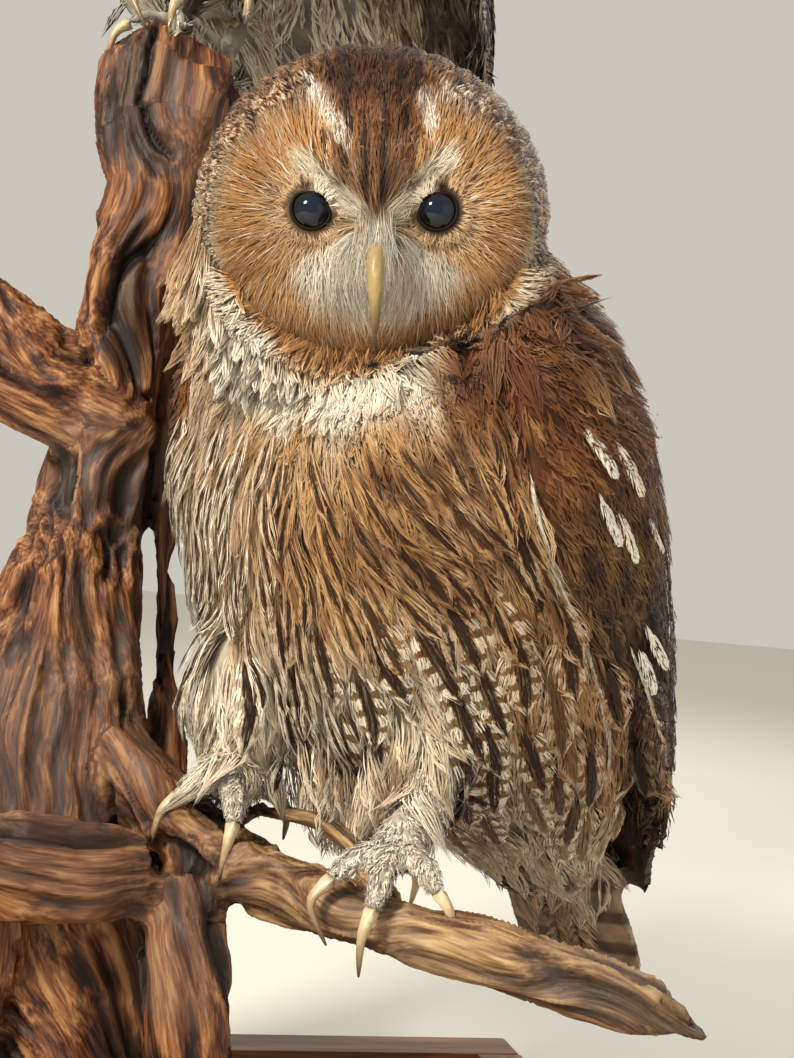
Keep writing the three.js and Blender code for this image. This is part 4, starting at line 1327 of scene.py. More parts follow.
CROWN_PAINT = dict(edge=0.1, unlike=0.1, turns=2.0, streaks=crown_streaks)
RUFF_PAINT = dict(edge=0.14, tip=0.14, bars=0.9, gap=0.3, turns=2.0, unlike=0.12)
RIM_PAINT = dict(streaks=rim_streaks, unlike=0.1)
FALLEN = dict(edge=0.06, unlike=0.08, turns=3.0, bars=0.3)
inner_rim = rim_roots(owl, 130, 59, (-84, -28), (0.9, 0.99))
crown_sets = [
    feathered(owl, spread(owl, 3.8, crown_area, 31), CROWN, 35, **CROWN_PAINT),
    feathered(owl, spread(owl, 2.7, ruff_area, 33), RUFF, 37, **RUFF_PAINT),
    feathered(owl, rim_roots(owl, 540, 39), RIM_HAIR, 41, turns=2.6, **RIM_PAINT),
    feathered(owl, inner_rim, INNER_RIM, 61, turns=3.0, **RIM_PAINT),
]
coat_piece("coat_crown", crown_sets, tawny_coat, owl.head)

# Each hanging set: the number of feathers, the seed, the ranges that hanging_roots takes, and the kind.
collar = [
    feathered(owl, hanging_roots(owl, count, seed, angles, rims, depths), kind, seed + 1, **FALLEN)
    for count, seed, angles, rims, depths, kind in (
        (150, 141, (168, 226), (1.0, 1.14), (-22, 6), FALL),
        (120, 145, (-56, -8), (0.98, 1.08), (-22, 4), SHORT_FALL),
        (560, 143, (198, 326), (0.92, 1.1), (-32, -14), COLLAR),
        (150, 147, (248, 296), (0.88, 1.0), (-46, -28), CHIN),
        (130, 149, (292, 334), (0.88, 0.98), (-42, -24), CHIN),
    )
]
low_rim = rim_roots(owl, 170, 63, (-66, -18), (0.98, 1.05))
collar.insert(3, feathered(owl, low_rim, LOW_RIM, 65, streaks=rim_streaks, turns=2.6))
coat_piece("coat_neck", collar, tawny_coat, owl.head)

# %% [markdown]
# ## Breast, belly, flanks and back
# Body feathers are long and soft, with loose hair-like barbs, and only their outer halves show. Short
# ones close the coat under the chin and along the shoulders, where the long ones start.

# %% Areas of the body
NECK_SKIN = 64  # mm from the middle of the head from which the neck is covered from the body
THIGH = 176  # mm above the ground from which the legs are covered from the body
LEG_TOP = 190  # mm above the ground to which they have their own short feathers
BIB_END, DOWN_END, STREAKS_START = 98, 91, 84  # mm from the middle of the head


def is_body_skin(at):
    thigh = np.isin(at.part, IS_LEG) & (at.high > THIGH)
    low_neck = (at.part == IS_NECK) & (np.linalg.norm(at.head, axis=1) >= NECK_SKIN)
    return (at.part == IS_TRUNK) | thigh | low_neck


def bib_area(at):
    near_head = np.linalg.norm(at.head, axis=1) < BIB_END
    under_chin = is_head_skin(at) & (disc_rim(at.head) > 1.02) & (at.head[:, 2] < -40)
    return (is_body_skin(at) & near_head) | under_chin


def down_area(at):
    """The strip under the head, where no longer feather lies over the roots of the coat."""
    far = np.linalg.norm(at.head, axis=1)
    below_head = np.isin(at.part, (IS_HEAD, IS_NECK, IS_TRUNK)) & (far >= NECK_SKIN) & (at.head[:, 2] < -40)
    return (bib_area(at) | below_head) & (far < DOWN_END)


BACK, BREAST, VENT = 14, 22, -40  # borders in the body's frame: depth of the back, heights of the others


def front_between(low, high):
    """A test for places on the front of the body between two heights in its frame."""

    def test(at):
        return is_body_skin(at) & (at.body[:, 1] < BACK) & (at.body[:, 2] >= low) & (at.body[:, 2] < high)

    return test


def back_area(at):
    return is_body_skin(at) & (at.body[:, 1] >= BACK)


def streaked_area(at):
    """Where feathers with a dark shaft streak lie on top: the breast and the belly, down to the vent."""
    x, y, z = at.body.T
    below_bib = (at.part == IS_TRUNK) & (np.linalg.norm(at.head, axis=1) > STREAKS_START)
    return below_bib & (y < 20) & (z < 66) & (z > -95) & ((x > -10) | (z < 5))


def pencil_area(at):
    """Where narrow streaked feathers lie over the others: the outer side and the top of the breast."""
    x, y, z = at.body.T
    return (at.part == IS_TRUNK) & (y < 20) & (z < 72) & ((z > 20) | ((x < 6) & (z > -60)))


def apron_area(at):
    """The lowest part of the belly, between the legs."""
    x, y, _ = at.body.T
    return (at.part == IS_TRUNK) & (at.high < LEG_TOP) & (y < -48) & (x > -34) & (x < 20)


def straight_down(bird, roots):
    """Headings and normals of feathers that hang down freely and face forwards."""
    many = np.ones((len(roots), 1))
    return unit(many * (0, -0.12, -1)), unit(many * (0, -1, 0.12))


# %% Body feathers
SOFT = dict(
    length=32, half=6.0, locks=46, lock=0.27, lift=(0.3, 5.6), loose=1.0, sweep=0.5, stray=5, stiff=0.35,
    ruffle=0.3, bare=0.3, crowd=1.0, rise=0.5, point=0.4, fray=0.2, bend=2.2, clump=0.45, vary=0.5,
    parted=0.62,
)
STREAKED = dict(
    length=40, half=9.0, locks=140, lock=0.3, lift=(3.6, 8.8), loose=1.0, spread=0.95, stray=7,
    stiff=0.35, ruffle=0.2, bare=0.2, crowd=0.9, rise=0.6, point=0.5, fray=0.12, bend=2.0, clump=0.35,
    vary=0.4, parted=0.4, camber=0.3,
)
PENCIL = dict(
    SOFT, length=25, half=4.2, locks=36, lift=(5.2, 9.6), bare=0.05, spread=0.95, parted=0.5, clump=0.2
)
BIB = dict(SOFT, length=17, half=3.6, locks=26, lift=(0.3, 5.0), bare=0.0, stray=9, bend=1.0)
DOWN = dict(
    length=9, half=1.8, locks=3, lock=0.55, lift=(0.2, 4.2), loose=0.8, sweep=0.8, bare=0.0, stray=16,
    ruffle=0.5, steps=3, crowd=1.0, stiff=0.4, vary=0.4,
)
MANTLE = dict(SOFT, length=27, half=7.0, locks=30, lock=0.5, loose=0.8, lift=(0.3, 3.6), bend=1.2)
APRON = dict(SOFT, length=28, half=5.0, locks=24, lift=(0.2, 3.0), bend=2.0, free=straight_down)
FAINT = dict(edge=0.1, unlike=0.06)
MARKED = dict(FAINT, streaks=faint_streaks, turns=5.0)
STREAKED_PAINT = dict(FAINT, streaks=breast_streaks, turns=5.4)
MANTLE_PAINT = dict(bars=0.4, turns=4.0, edge=0.2)
PENCIL_PAINT = dict(streaks=pencil_streaks, turns=2.5, unlike=0.08)

# Each piece: its name, its area, how far apart its feathers are, mm, their kind and paint, and a seed.
for name, area, spacing, kind, paint, seed in (
    ("coat_bib", bib_area, 3.9, BIB, FAINT, 41),
    ("coat_breast", front_between(BREAST, 200), 5.8, SOFT, MARKED, 43),
    ("coat_belly", front_between(VENT, BREAST), 5.8, SOFT, MARKED, 45),
    ("coat_vent", front_between(-200, VENT), 7.8, SOFT, MARKED, 47),
    ("coat_streaks", streaked_area, 14.0, STREAKED, STREAKED_PAINT, 151),
    ("coat_back", back_area, 6.2, MANTLE, MANTLE_PAINT, 49),
):
    sets = [feathered(owl, spread(owl, spacing, area, seed), kind, seed + 1, **paint)]
    if name == "coat_bib":
        sets.append(feathered(owl, scatter(owl, 2400, down_area, 48), DOWN, 52))
    if name == "coat_belly":
        sets.append(feathered(owl, scatter(owl, 80, apron_area, 56), APRON, 58, **MARKED))
    if name == "coat_streaks":
        sets.append(feathered(owl, spread(owl, 8.6, pencil_area, 153), PENCIL, 155, **PENCIL_PAINT))
    coat_piece(name, sets, tawny_coat, owl.body)

# %% [markdown]
# ## Wings and tail
# The shoulder of a folded wing is covered by short, soft, rufous feathers. Below them come rows of firm
# coverts, some with a white outer web, and then the long flight feathers, which are barred vanes.

# %% Places on the wings and the tail


def wing_part(number, low, high):
    """A test for places on one wing between two heights in the body's frame."""

    def test(at):
        return (at.part == number) & (at.body[:, 2] > low) & (at.body[:, 2] <= high)

    return test


VANES = 13  # flight feathers that show on a folded wing


def vane_roots(bird, side):
    """Where the flight feathers of one wing leave it, from the leading edge to the back."""
    back = np.linspace(-14, 70, VANES)
    height = np.interp(back, [-14, 10, 40, 70], [-34, -60, -50, -10])
    return bird.nearest(outside(np.stack([np.full(VANES, side * 90.0), back, height], 1), bird.body))[0]


def on_wing(side, places):
    """Roots at places in the body's frame, given for the left wing."""
    return owl.nearest(outside(np.array(places, float) * (side, 1, 1), owl.body))[0]


def tail_roots(bird):
    """Two rows of six across the root of the tail."""
    across = 20 + np.linspace(-22, 22, 6)
    rows = [np.stack([across, np.full(6, back), np.full(6, -128.0)], 1) for back in (-5.0, 40.0)]
    return bird.nearest(outside(np.concatenate(rows), bird.body))[0]


# %% Coverts, flight feathers and tail
LESSER = dict(
    SOFT, length=17, half=4.4, locks=20, lock=0.32, lift=(0.2, 2.6), bare=0.05, bend=1.4, parted=0.5,
    size=sized("body", 2, 0.8, 0.5, 70, 10),
)
GREATER = dict(
    length=30, half=8.0, locks=46, lock=0.42, lift=(0.3, 3.2), loose=0.5, sweep=0.24, stray=5, bare=0.1,
    rise=0.8, clump=0.1, point=0.8, parted=0.55, vary=0.5, size=sized("body", 2, 0.75, 0.55, 20, -60),
)
SPOT = dict(
    length=21, half=2.9, locks=76, lock=0.34, lift=(2.2, 4.2), loose=1.0, sweep=0.24, stray=3, bare=0.0,
    vary=0.1, clump=0.0, ruffle=0.05, point=0.3, parted=0.5,
)
SHAFT_LINE = dict(
    length=70, half=0.9, locks=110, lock=0.36, lift=(4.8, 6.6), sweep=0.1, stray=0, bare=0.0, steps=8,
    crowd=1.0, ruffle=0.1,
)
BUFF_LINE = dict(SHAFT_LINE, length=52)
VANE = dict(
    length=95, half=9.0, locks=130, lock=0.62, lift=(0.8, 4.2), loose=0.05, sweep=0.1, stray=0.5,
    bare=0.04, steps=12, stiff=0.25, crowd=1.0, bow=0.9, point=0.8, ruffle=0.08, camber=0.12, clump=0.0,
    bend=0.6,
)
TAIL_VANE = dict(VANE, length=100, half=8.5, lift=(0.4, 2.2))

# Places on the left wing, in the body's frame: the white spots, the white line at its edge, buff lines.
WHITE_SPOTS = [
    (92, -19, 64), (96, -9, 54), (94, -23, 40), (96, -16, 30), (97, -9, -19), (97, -14, -27), (93, 0, 20)
]
EDGE_LINE = [(80, -43, 56)]
BUFF_LINES = [(82, -40, 10), (84, -34, -12), (86, -28, -34), (88, -20, -20), (90, -12, -46)]
WHITE = dict(plain=(0.1, 0.12, 0.8))
BUFF = dict(plain=(0.2, 0.35, 0.45))
LESSER_PAINT = dict(unlike=0.08)
GREATER_PAINT = dict(edge=0.16, bars=0.45, turns=4.0, unlike=0.1)
FLIGHT_PAINT = dict(plain=(0.2, 0.55, 0.25), bars=0.75, turns=6.0)
for name, number, side, seed in zip(("coat_wing_left", "coat_wing_right"), IS_WING, (1, -1), (61, 81)):
    shoulder, upper = wing_part(number, 44, 200), wing_part(number, 14, 200)
    lower = wing_part(number, -110, 22)
    wing_sets = [
        feathered(owl, scatter(owl, 600, shoulder, seed), DOWN, seed + 3),
        feathered(owl, spread(owl, 4.2, upper, seed), LESSER, seed + 2, **LESSER_PAINT),
        feathered(owl, spread(owl, 7.0, lower, seed + 1), GREATER, seed + 4, **GREATER_PAINT),
        feathered(owl, on_wing(side, WHITE_SPOTS), SPOT, seed + 6, **WHITE),
        feathered(owl, on_wing(side, EDGE_LINE), SHAFT_LINE, seed + 8, **WHITE),
        feathered(owl, on_wing(side, BUFF_LINES), BUFF_LINE, seed + 9, **BUFF),
        feathered(owl, vane_roots(owl, side), VANE, seed + 10, **FLIGHT_PAINT),
    ]
    coat_piece(name, wing_sets, tawny_coat, owl.body)
tail = feathered(owl, tail_roots(owl), TAIL_VANE, 101, **FLIGHT_PAINT)
coat_piece("coat_tail", [tail], tawny_coat, owl.body)

# %% [markdown]
# ## Legs and toes
# A tawny owl's legs and toes are feathered like fur, cream and short.

# %% Leg and toe tufts
LEG_TUFT = dict(
    length=12, half=1.6, locks=4, lock=0.34, lift=(0.2, 3.4), sweep=0.8, bare=0.0, stray=12, ruffle=0.5,
    steps=3, crowd=1.0, stiff=0.4,
)
TOE_TUFT = dict(LEG_TUFT, length=5.0, half=0.9, locks=3, lock=0.3, lift=(0.1, 1.2), steps=2, ruffle=0.2)


def leg_area(at):
    return np.isin(at.part, IS_LEG) & (at.high < LEG_TOP)


def toe_area(at):
    return np.isin(at.part, IS_FOOT)


leg_sets = [
    feathered(owl, scatter(owl, 1500, leg_area, 91), LEG_TUFT, 95, tip=0.2),
    feathered(owl, scatter(owl, 3900, toe_area, 93), TOE_TUFT, 97, tip=0.2),
]
coat_piece("coat_legs", leg_sets, tawny_coat, SPECIMEN)

# %% [markdown]
# ## Eyes and lids
# A tawny owl's eyes are nearly black; the blue in the middle of the pupil is a painted reflection. The glass
# eye is a ball with a bulged front. Two lids ring it: a thin dark rim that stands just off the glass, lower
# over the top.

# %% Glass eyes and lids
EYE_RADIUS = 10.0  # mm
glass, glass_tree, glass_shader = new_material(
    "black_brown_eye_glass", Roughness=0.05, Specular_IOR_Level=0.42
)
pupil = add_node(glass_tree, "Attribute", attribute_name="pupil").outputs["Fac"]
# The iris is dark brown and the pupil black; the blue towards the middle of the pupil is a painted
# reflection.
eye_hues_and_reflection = [(0.0, "#120a06"), (0.45, "#09080a"), (0.62, "#08101c"), (1.0, "#0b1729")]
eye_colour = add_node(glass_tree, "ValToRGB", {"Fac": pupil}, stops=eye_hues_and_reflection)
glass_tree.links.new(eye_colour.outputs["Color"], glass_shader.inputs["Base Color"])
lid_look = dict(Base_Color=linear("#120c09"), Roughness=0.7, Specular_IOR_Level=0.2)
lid_skin, _, _ = new_material("dark_lid_skin", **lid_look)


def eye_ball(name, centre, own):
    """A glass ball about a place in the frame `own` of a head, with a bulged front."""
    bpy.ops.object.select_all(action="DESELECT")
    bpy.ops.mesh.primitive_uv_sphere_add(segments=48, ring_count=32, radius=EYE_RADIUS * MM)
    ball = bpy.context.object
    ball.name = name
    points, _, _ = mesh_arrays(ball.data)
    x, z, y = points.T / MM
    across = np.hypot(x, z)
    y = -y - 0.8 * smooth_step(7.5, 2.0, across) * (y > 0)
    local = np.stack([-x, y, z], 1) + np.array(centre)
    move_points(ball, outside(local, own))
    set_values(ball, pupil=smooth_step(7.0, 3.0, across) * (y < 0))
    select_only(ball)
    bpy.ops.object.mode_set(mode="EDIT")
    bpy.ops.mesh.select_all(action="SELECT")
    bpy.ops.mesh.normals_make_consistent(inside=False)
    bpy.ops.object.mode_set(mode="OBJECT")
    bpy.ops.object.shade_smooth()
    ball.data.materials.append(glass)
    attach(ball, "root")
    return ball


# The profiles of a lid's dark edge and of its feathered band: radius and depth about an eye, mm.
LID_EDGE = [(6.5, -7.7), (6.6, -8.2), (7.1, -8.3), (7.6, -7.5), (7.9, -5.5), (7.9, -1.5)]
LID_BAND = [(7.6, -7.4), (9.0, -6.6), (10.6, -5.3), (12.4, -3.6), (13.4, -1.0)]


def round_the_eye(name, profile, centre, bird, material):
    """A profile swept about an eye, a little lower over its top and inner side."""
    profile = np.array(profile)
    around = 64  # steps
    angle = np.linspace(0, 2 * np.pi, around, endpoint=False)[:, None]
    inward = -np.sign(centre[0])
    droop = np.clip(np.cos(angle - np.arctan2(1.0, 0.7 * inward)), 0, 1) ** 1.8
    radius = profile[:, 0] - droop * 3.0 * smooth_step(10.5, 7, profile[:, 0])
    x, z, y = radius * np.cos(angle), radius * np.sin(angle), profile[:, 1] - 1.1 * droop
    points = outside(np.stack([x, y, z], 2).reshape(-1, 3) + np.array(centre), bird.head)
    rows = len(profile)
    here = np.arange(around)[:, None] * rows + np.arange(rows - 1)
    there = (here + rows) % (around * rows)
    quads = np.stack([here, there, there + 1, here + 1], 2).reshape(-1, 4)
    ring = new_piece(name, points, quads, material)
    dark, warm, pale = marks_at(bird, points, np.full(len(points), IS_HEAD))
    set_values(ring, dark=dark, warm=warm, pale=pale, tone=0.5 + 0 * dark, strand=0 * dark)
    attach(ring, "root")


def eyelids(name, centre, bird, feathered_skin):
    round_the_eye(name + "_edge", LID_EDGE, centre, bird, lid_skin)
    round_the_eye(name + "_band", LID_BAND, centre, bird, feathered_skin)


for side, centre in zip(SIDES, EYES):
    ball = eye_ball("glass_eye_" + side, centre, owl.head)
    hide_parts("eye_" + side)
    eyelids("eyelid_" + side, centre, owl, tawny_skin)
    print(ball.name, round(2 * EYE_RADIUS, 1), "mm across")

# %% [markdown]
# ## Bill and claws
# The bill and claws are horn: pale, a little translucent, darker at the tips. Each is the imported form
# with its facets rounded by subdivision.

# %% Horn
def horn_of(name, *colours):
    """Horn whose colour runs from its root to its tip, with a faint grain."""
    made, tree, shader = new_material(
        name, Roughness=0.36, Coat_Weight=0.2, Subsurface_Weight=0.08, Subsurface_Scale=2 * MM
    )
    tip = add_node(tree, "Attribute", attribute_name="tip").outputs["Fac"]
    place = add_node(tree, "TexCoord").outputs["Object"]
    grain = add_node(tree, "TexNoise", {"Vector": place, "Scale": 1 / (1.6 * MM), "Detail": 3.0})
    stops = list(zip((0.0, 0.25, 0.7, 1.0), colours))
    hue = add_node(tree, "ValToRGB", {"Fac": tip}, stops=stops)
    grained = {"Fac": 0.35, "Color1": hue, "Color2": grain}
    final = add_node(tree, "MixRGB", grained, blend_type="OVERLAY")
    tree.links.new(final.outputs["Color"], shader.inputs["Base Color"])
    return made


claw_horn = horn_of("pale_claw_keratin", "#8f7f66", "#d0c09c", "#9a8261", "#2a1c13")
bill_horn = horn_of("olive_bill_keratin", "#6d5c3f", "#93805a", "#a08a5c", "#5f4c31")


def horn_piece(name, source, shift=(0, 0, 0), root=None, horn=claw_horn):
    """A rounded copy of a packed horn form, shifted by mm, with how near its tip each point is."""
    points, faces, _ = merged_copy([source], 0.15)
    piece = new_piece(name, points + np.array(shift) * MM, faces, horn)
    apply_modifier(piece, "SUBSURF", levels=2, render_levels=2)
    made, _, _ = mesh_arrays(piece.data)
    start = np.array(root) if root is not None else made[made[:, 2].argmax()]
    far = np.linalg.norm(made - start, axis=1)
    set_values(piece, tip=(far - far.min()) / (far.max() - far.min()))
    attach(piece, "root")
    return piece


CLAWS = [(side, f"claw_{side}_{number}") for side in SIDES for number in (1, 2, 3, 4)]
PALM_OF = dict(zip(SIDES, PALMS.values()))
bill = horn_piece("horn_bill", "bill", horn=bill_horn)
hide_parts("bill")
for side, source in CLAWS:
    claw = horn_piece("horn_" + source, source, root=outside(PALM_OF[side], SPECIMEN))
    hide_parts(source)
print("horn pieces:", 1 + len(CLAWS))

# %% [markdown]
# ## The second owl
# The owl above is a grey bird and is built more plainly: one skin, fewer and coarser feathers from the
# same makers, and the same eyes, bill and claws moved up to it.

# %% Second owl
STANCE = {"left": (-16, 16, 26), "right": (34, -14, -2)}  # how its feet differ from the first owl's, mm
second_palms = {
    number: np.array(PALM_OF[side]) + STEP_UP + STANCE[side] for number, side in zip(IS_FOOT, SIDES)
}
second = Bird("second_skin", ["companion_owl"], 2.8, SECOND_SHIFT, second_palms)
GREY = dict(ground="#c9bca6", warm=("#93795a", "#66503a"), white="#e9e4d8", dark="#2a2019")
grey_coat = plumage("grey_plumage_keratin", **GREY)
# The skin's copy is darker all over: the down, and painted shade of the depth under the coat.
grey_skin = plumage("grey_skin_down_and_painted_shade", **GREY, down_and_shade_factor=0.62)
finish_skin(second, grey_skin, "second_plumage", "companion_owl")


def coarser(kind, locks, lock):
    """The same kind of feather with fewer and wider locks."""
    return dict(kind, locks=locks, lock=lock, steps=3)


def any_wing(at):
    return np.isin(at.part, IS_WING) & (at.body[:, 2] > -110)


# %% Coats of the second owl
# Each set: its area, how far apart its feathers are, mm, their kind and how they are painted.
HEAD_SETS = [
    (crown_area, 5.2, coarser(CROWN, 8, 0.6), dict(edge=0.2)),
    (ruff_area, 4.4, coarser(RUFF, 7, 0.55), dict(edge=0.2)),
]
BODY_SETS = [
    (is_body_skin, 7.0, coarser(SOFT, 15, 0.6), dict(edge=0.1)),
    (any_wing, 8.0, coarser(GREATER, 14, 0.8), GREATER_PAINT),
    (leg_area, 4.5, coarser(LEG_TUFT, 5, 0.5), {}),
    (toe_area, 3.2, coarser(TOE_TUFT, 4, 0.4), {}),
]


def second_coat(sets, seed):
    """The sets of one coat piece, seeded one after another."""
    made = []
    for area, spacing, kind, paint in sets:
        seed += 3
        made.append(feathered(second, spread(second, spacing, area, seed), kind, seed, **paint))
    return made


head_coat = second_coat(HEAD_SETS, 201)
face_roots = scatter(second, 2600, face_area, 230)
head_coat.append(feathered(second, face_roots, dict(FILAMENT, lock=0.42), 231, tip=0.2))
coat_piece("second_coat_head", head_coat, grey_coat, second.head)

body_coat = second_coat(BODY_SETS, 201 + 3 * len(HEAD_SETS))
wide_vane, wide_tail = dict(VANE, locks=50, lock=1.2), dict(TAIL_VANE, locks=50, lock=1.2)
for side in (1, -1):
    body_coat.append(feathered(second, vane_roots(second, side), wide_vane, 240, **FLIGHT_PAINT))
body_coat.append(feathered(second, tail_roots(second), wide_tail, 241, **FLIGHT_PAINT))
coat_piece("second_coat_body", body_coat, grey_coat, second.body)

# %% Eyes, bill and claws of the second owl
for side, centre in zip(SIDES, EYES):
    eye_ball("second_eye_" + side, centre, second.head)
    eyelids("second_eyelid_" + side, centre, second, grey_skin)
horn_piece("second_bill", "bill", SECOND_SHIFT, horn=bill_horn)
for side, source in CLAWS:
    shift = SECOND_SHIFT + SPECIMEN[1] @ np.array(STANCE[side])
    root = outside(PALM_OF[side], SPECIMEN) + shift * MM
    horn_piece("second_" + source, source, shift, root)

# %% [markdown]
# ## Driftwood
# Years of weather have worn the soft wood out from between the hard grain, so the surface is ridges and
# grooves that follow each limb and turn slowly about it, with deep checks and splintered ends. The form
# is remeshed finely, and every point gets its place in the grain: across its limb in two directions and
# along it. The same place then drives both the carving and the colour.

# %% Places in the grain
# Each limb is a row of stations along it: their place in the specimen's frame and their radius, mm.
LIMBS = {
    "trunk": [(6, -18, 12, 38), (-2, -12, 70, 39), (-12, -2, 130, 38), (-16, 4, 180, 33), (-12, 14, 235, 24),
        (-9, 20, 290, 20), (-9, 28, 345, 18), (-2, 38, 388, 22), (-4, 48, 424, 31), (2, 54, 445, 26)],
    "back_strand": [(28, 12, 140, 10), (25, 24, 180, 7), (15, 30, 240, 6), (12, 34, 300, 6), (0, 36, 390, 8)],
    "stub": [(-8, 16, 290, 17), (-34, 10, 304, 17), (-56, 6, 330, 10), (-76, 2, 352, 4)],
    "low_stub": [(-14, 12, 282, 13), (-42, 2, 294, 11), (-64, -6, 304, 7), (-82, -12, 309, 3)],
    "slab": [(30, -34, 122, 16), (4, -50, 126, 17), (-24, -60, 128, 17), (-50, -66, 122, 12)],
    "branch": [(-18, 4, 176, 23), (18, -8, 152, 20), (54, -20, 132, 17), (88, -44, 125, 14),
        (120, -66, 123, 13), (150, -79, 121, 12), (180, -91, 120, 12), (204, -101, 117, 10),
        (224, -110, 110, 3)],
    "arch": [(50, -4, 138, 6), (70, -8, 149, 5), (92, -22, 149, 5), (108, -36, 142, 5), (122, -52, 127, 6)],
    "front_root": [(-18, -34, 118, 15), (-24, -46, 66, 13), (-44, -60, 34, 12), (-66, -72, 18, 7)],
    "right_root": [(44, -30, 126, 15), (52, -40, 88, 17), (62, -50, 46, 15), (86, -62, 21, 9)],
    "left_root": [(-8, -4, 92, 19), (-34, 4, 46, 14), (-62, 8, 20, 8)],
}
GRAIN_STRETCH = 0.09  # how slowly the grain changes along a limb, against across it
GRAIN_TURN = math.radians(0.22)  # per mm along a limb
GRAIN_WANDER = 13.0  # mm the grain of a thick limb wanders sideways


def limb_places(local, rows):
    """For places in the specimen's frame: how far out of a limb they are as a share of its radius, and
    their place in its grain."""
    rows = np.array(rows, float)
    starts, ends = rows[:-1, :3], rows[1:, :3]
    run = ends - starts
    length = np.linalg.norm(run, axis=1)
    before = np.concatenate([[0], np.cumsum(length)[:-1]])
    share = np.clip(((local[:, None] - starts) * run).sum(2) / length**2, 0, 1)
    middle = starts + share[..., None] * run
    radius = rows[:-1, 3] + share * (rows[1:, 3] - rows[:-1, 3])
    out = np.linalg.norm(local[:, None] - middle, axis=2) / radius
    near = out.argmin(1)
    pick = np.arange(len(local))
    along = before[near] + share[pick, near] * length[near]
    axis = unit(rows[-1, :3] - rows[0, :3])
    one = unit(np.cross(axis, (0.3, 0.9, 0.2)))
    other = np.cross(axis, one)
    offset = local - middle[pick, near]
    angle = along * GRAIN_TURN
    sideways, inwards = offset @ one, offset @ other
    across = sideways * np.cos(angle) - inwards * np.sin(angle)
    deep = sideways * np.sin(angle) + inwards * np.cos(angle)
    wander = GRAIN_WANDER * np.minimum(1, rows[:, 3].max() / 24)
    across = across + wander * soft_noise(local * MM, 44, 61.0)
    deep = deep + wander * soft_noise(local * MM, 38, 83.0)
    return out[pick, near], np.stack([across, deep, along * GRAIN_STRETCH], 1)


def noise_at(places, size, seed):
    """Noise from -1 to 1 at grain places, with features `size` mm across the grain."""
    return np.array([noise.noise(p) for p in (places / size + seed).tolist()])


# %% The two limbs nearest to each point of the wood
points, faces, _ = merged_copy(["driftwood"])
wood = new_piece("driftwood_carved", points, faces)
apply_modifier(wood, "REMESH", mode="VOXEL", voxel_size=1.5 * MM, use_smooth_shade=True)
apply_modifier(wood, "SMOOTH", factor=0.5, iterations=14)
wood_points, wood_normals, wood_triangles = mesh_arrays(wood.data)
print("driftwood:", len(wood_triangles), "triangles")
local = inside(wood_points, SPECIMEN)
outs, grains = (np.array(each) for each in zip(*(limb_places(local, rows) for rows in LIMBS.values())))
nearest, next_limb = outs.argsort(0)[:2]
pick = np.arange(len(local))
share = 0.5 + 0.5 * smooth_step(0.0, 0.35, outs[next_limb, pick] - outs[nearest, pick])
APART = 41.0  # between the grain places of one limb and the next, so that each has its own grain
grain_near, grain_next = (grains[limb, pick] + APART * limb[:, None] for limb in (nearest, next_limb))

# %% Carving
# Four layers of noise in the grain: their size across it, mm, and their seed.
LAYERS = {"fold": (17.0, 3.1), "ridge": (6.5, 11.7), "fine": (2.6, 23.3), "check": (26.0, 37.9)}
FOLDS, RIDGES, FIBRES, CHECKS, LUMPS, LEVEL = 5.6, 2.1, 0.8, 5.0, 2.2, 1.4  # depths of the carving, mm
BLUNT_END = (34, -40, 122)  # the end of the slab by the branch, in the specimen's frame
GROUND = 12.8  # mm: the wood rests on the tray's board up to here and isn't carved
carved = {
    name: noise_at(grain_near, size, seed) * share + noise_at(grain_next, size, seed) * (1 - share)
    for name, (size, seed) in LAYERS.items()
}
ridge = 1 - np.abs(carved["ridge"]) * 2.6
check = smooth_step(0.07, 0.01, np.abs(carved["check"])) * smooth_step(0.1, -0.1, carved["fold"])
lumps = soft_noise(wood_points, 34, 9.0)
blunt = smooth_step(26, 6, np.linalg.norm(local - BLUNT_END, axis=1))
cut = FOLDS * carved["fold"] + RIDGES * np.clip(ridge, -1, 1) + FIBRES * carved["fine"]
cut = cut - CHECKS * check + LUMPS * lumps - LEVEL
cut = cut - blunt * (3.0 + 5.0 * carved["fold"])
to_birds = np.array([part_tree.find_nearest(point)[3] for point in wood_points.tolist()]) / MM
height = wood_points[:, 2] / MM
free = smooth_step(2.0, 9.0, to_birds) * smooth_step(GROUND - 0.3, 20, height)
above = smooth_step(360, 395, local[:, 2])
cut = np.minimum(cut, cut * free * (1 - above) + np.minimum(cut, 0) * (1 - free) * 0.5)
cut = np.where(height < GROUND, 0, cut)
wood_points = wood_points + wood_normals * cut[:, None] * MM
move_points(wood, wood_points)
print("carved from", round(cut.min(), 1), "to", round(cut.max(), 1), "mm")

# %% What the wood's colour follows
is_branch = np.isin(nearest, [list(LIMBS).index(name) for name in ("branch", "arch")])
tan = evened(is_branch * smooth_step(20, 90, local[:, 0]), wood.data, 10)
# Painted shade: the checks and the deepest folds are darkened as the shade that lies in them.
hollow = np.clip(evened(check, wood.data, 1) + smooth_step(-0.08, -0.36, carved["fold"]) * 0.8, 0, 1)
weather = smooth_step(0.12, 0.4, soft_noise(wood_points, 46, 5.0) + 0.25 * carved["fold"])
set_values(wood, grain_place=grain_near, ridge=np.clip(0.5 + 0.5 * ridge, 0, 1))
set_values(wood, hollow=hollow, tan=tan, weather=weather)
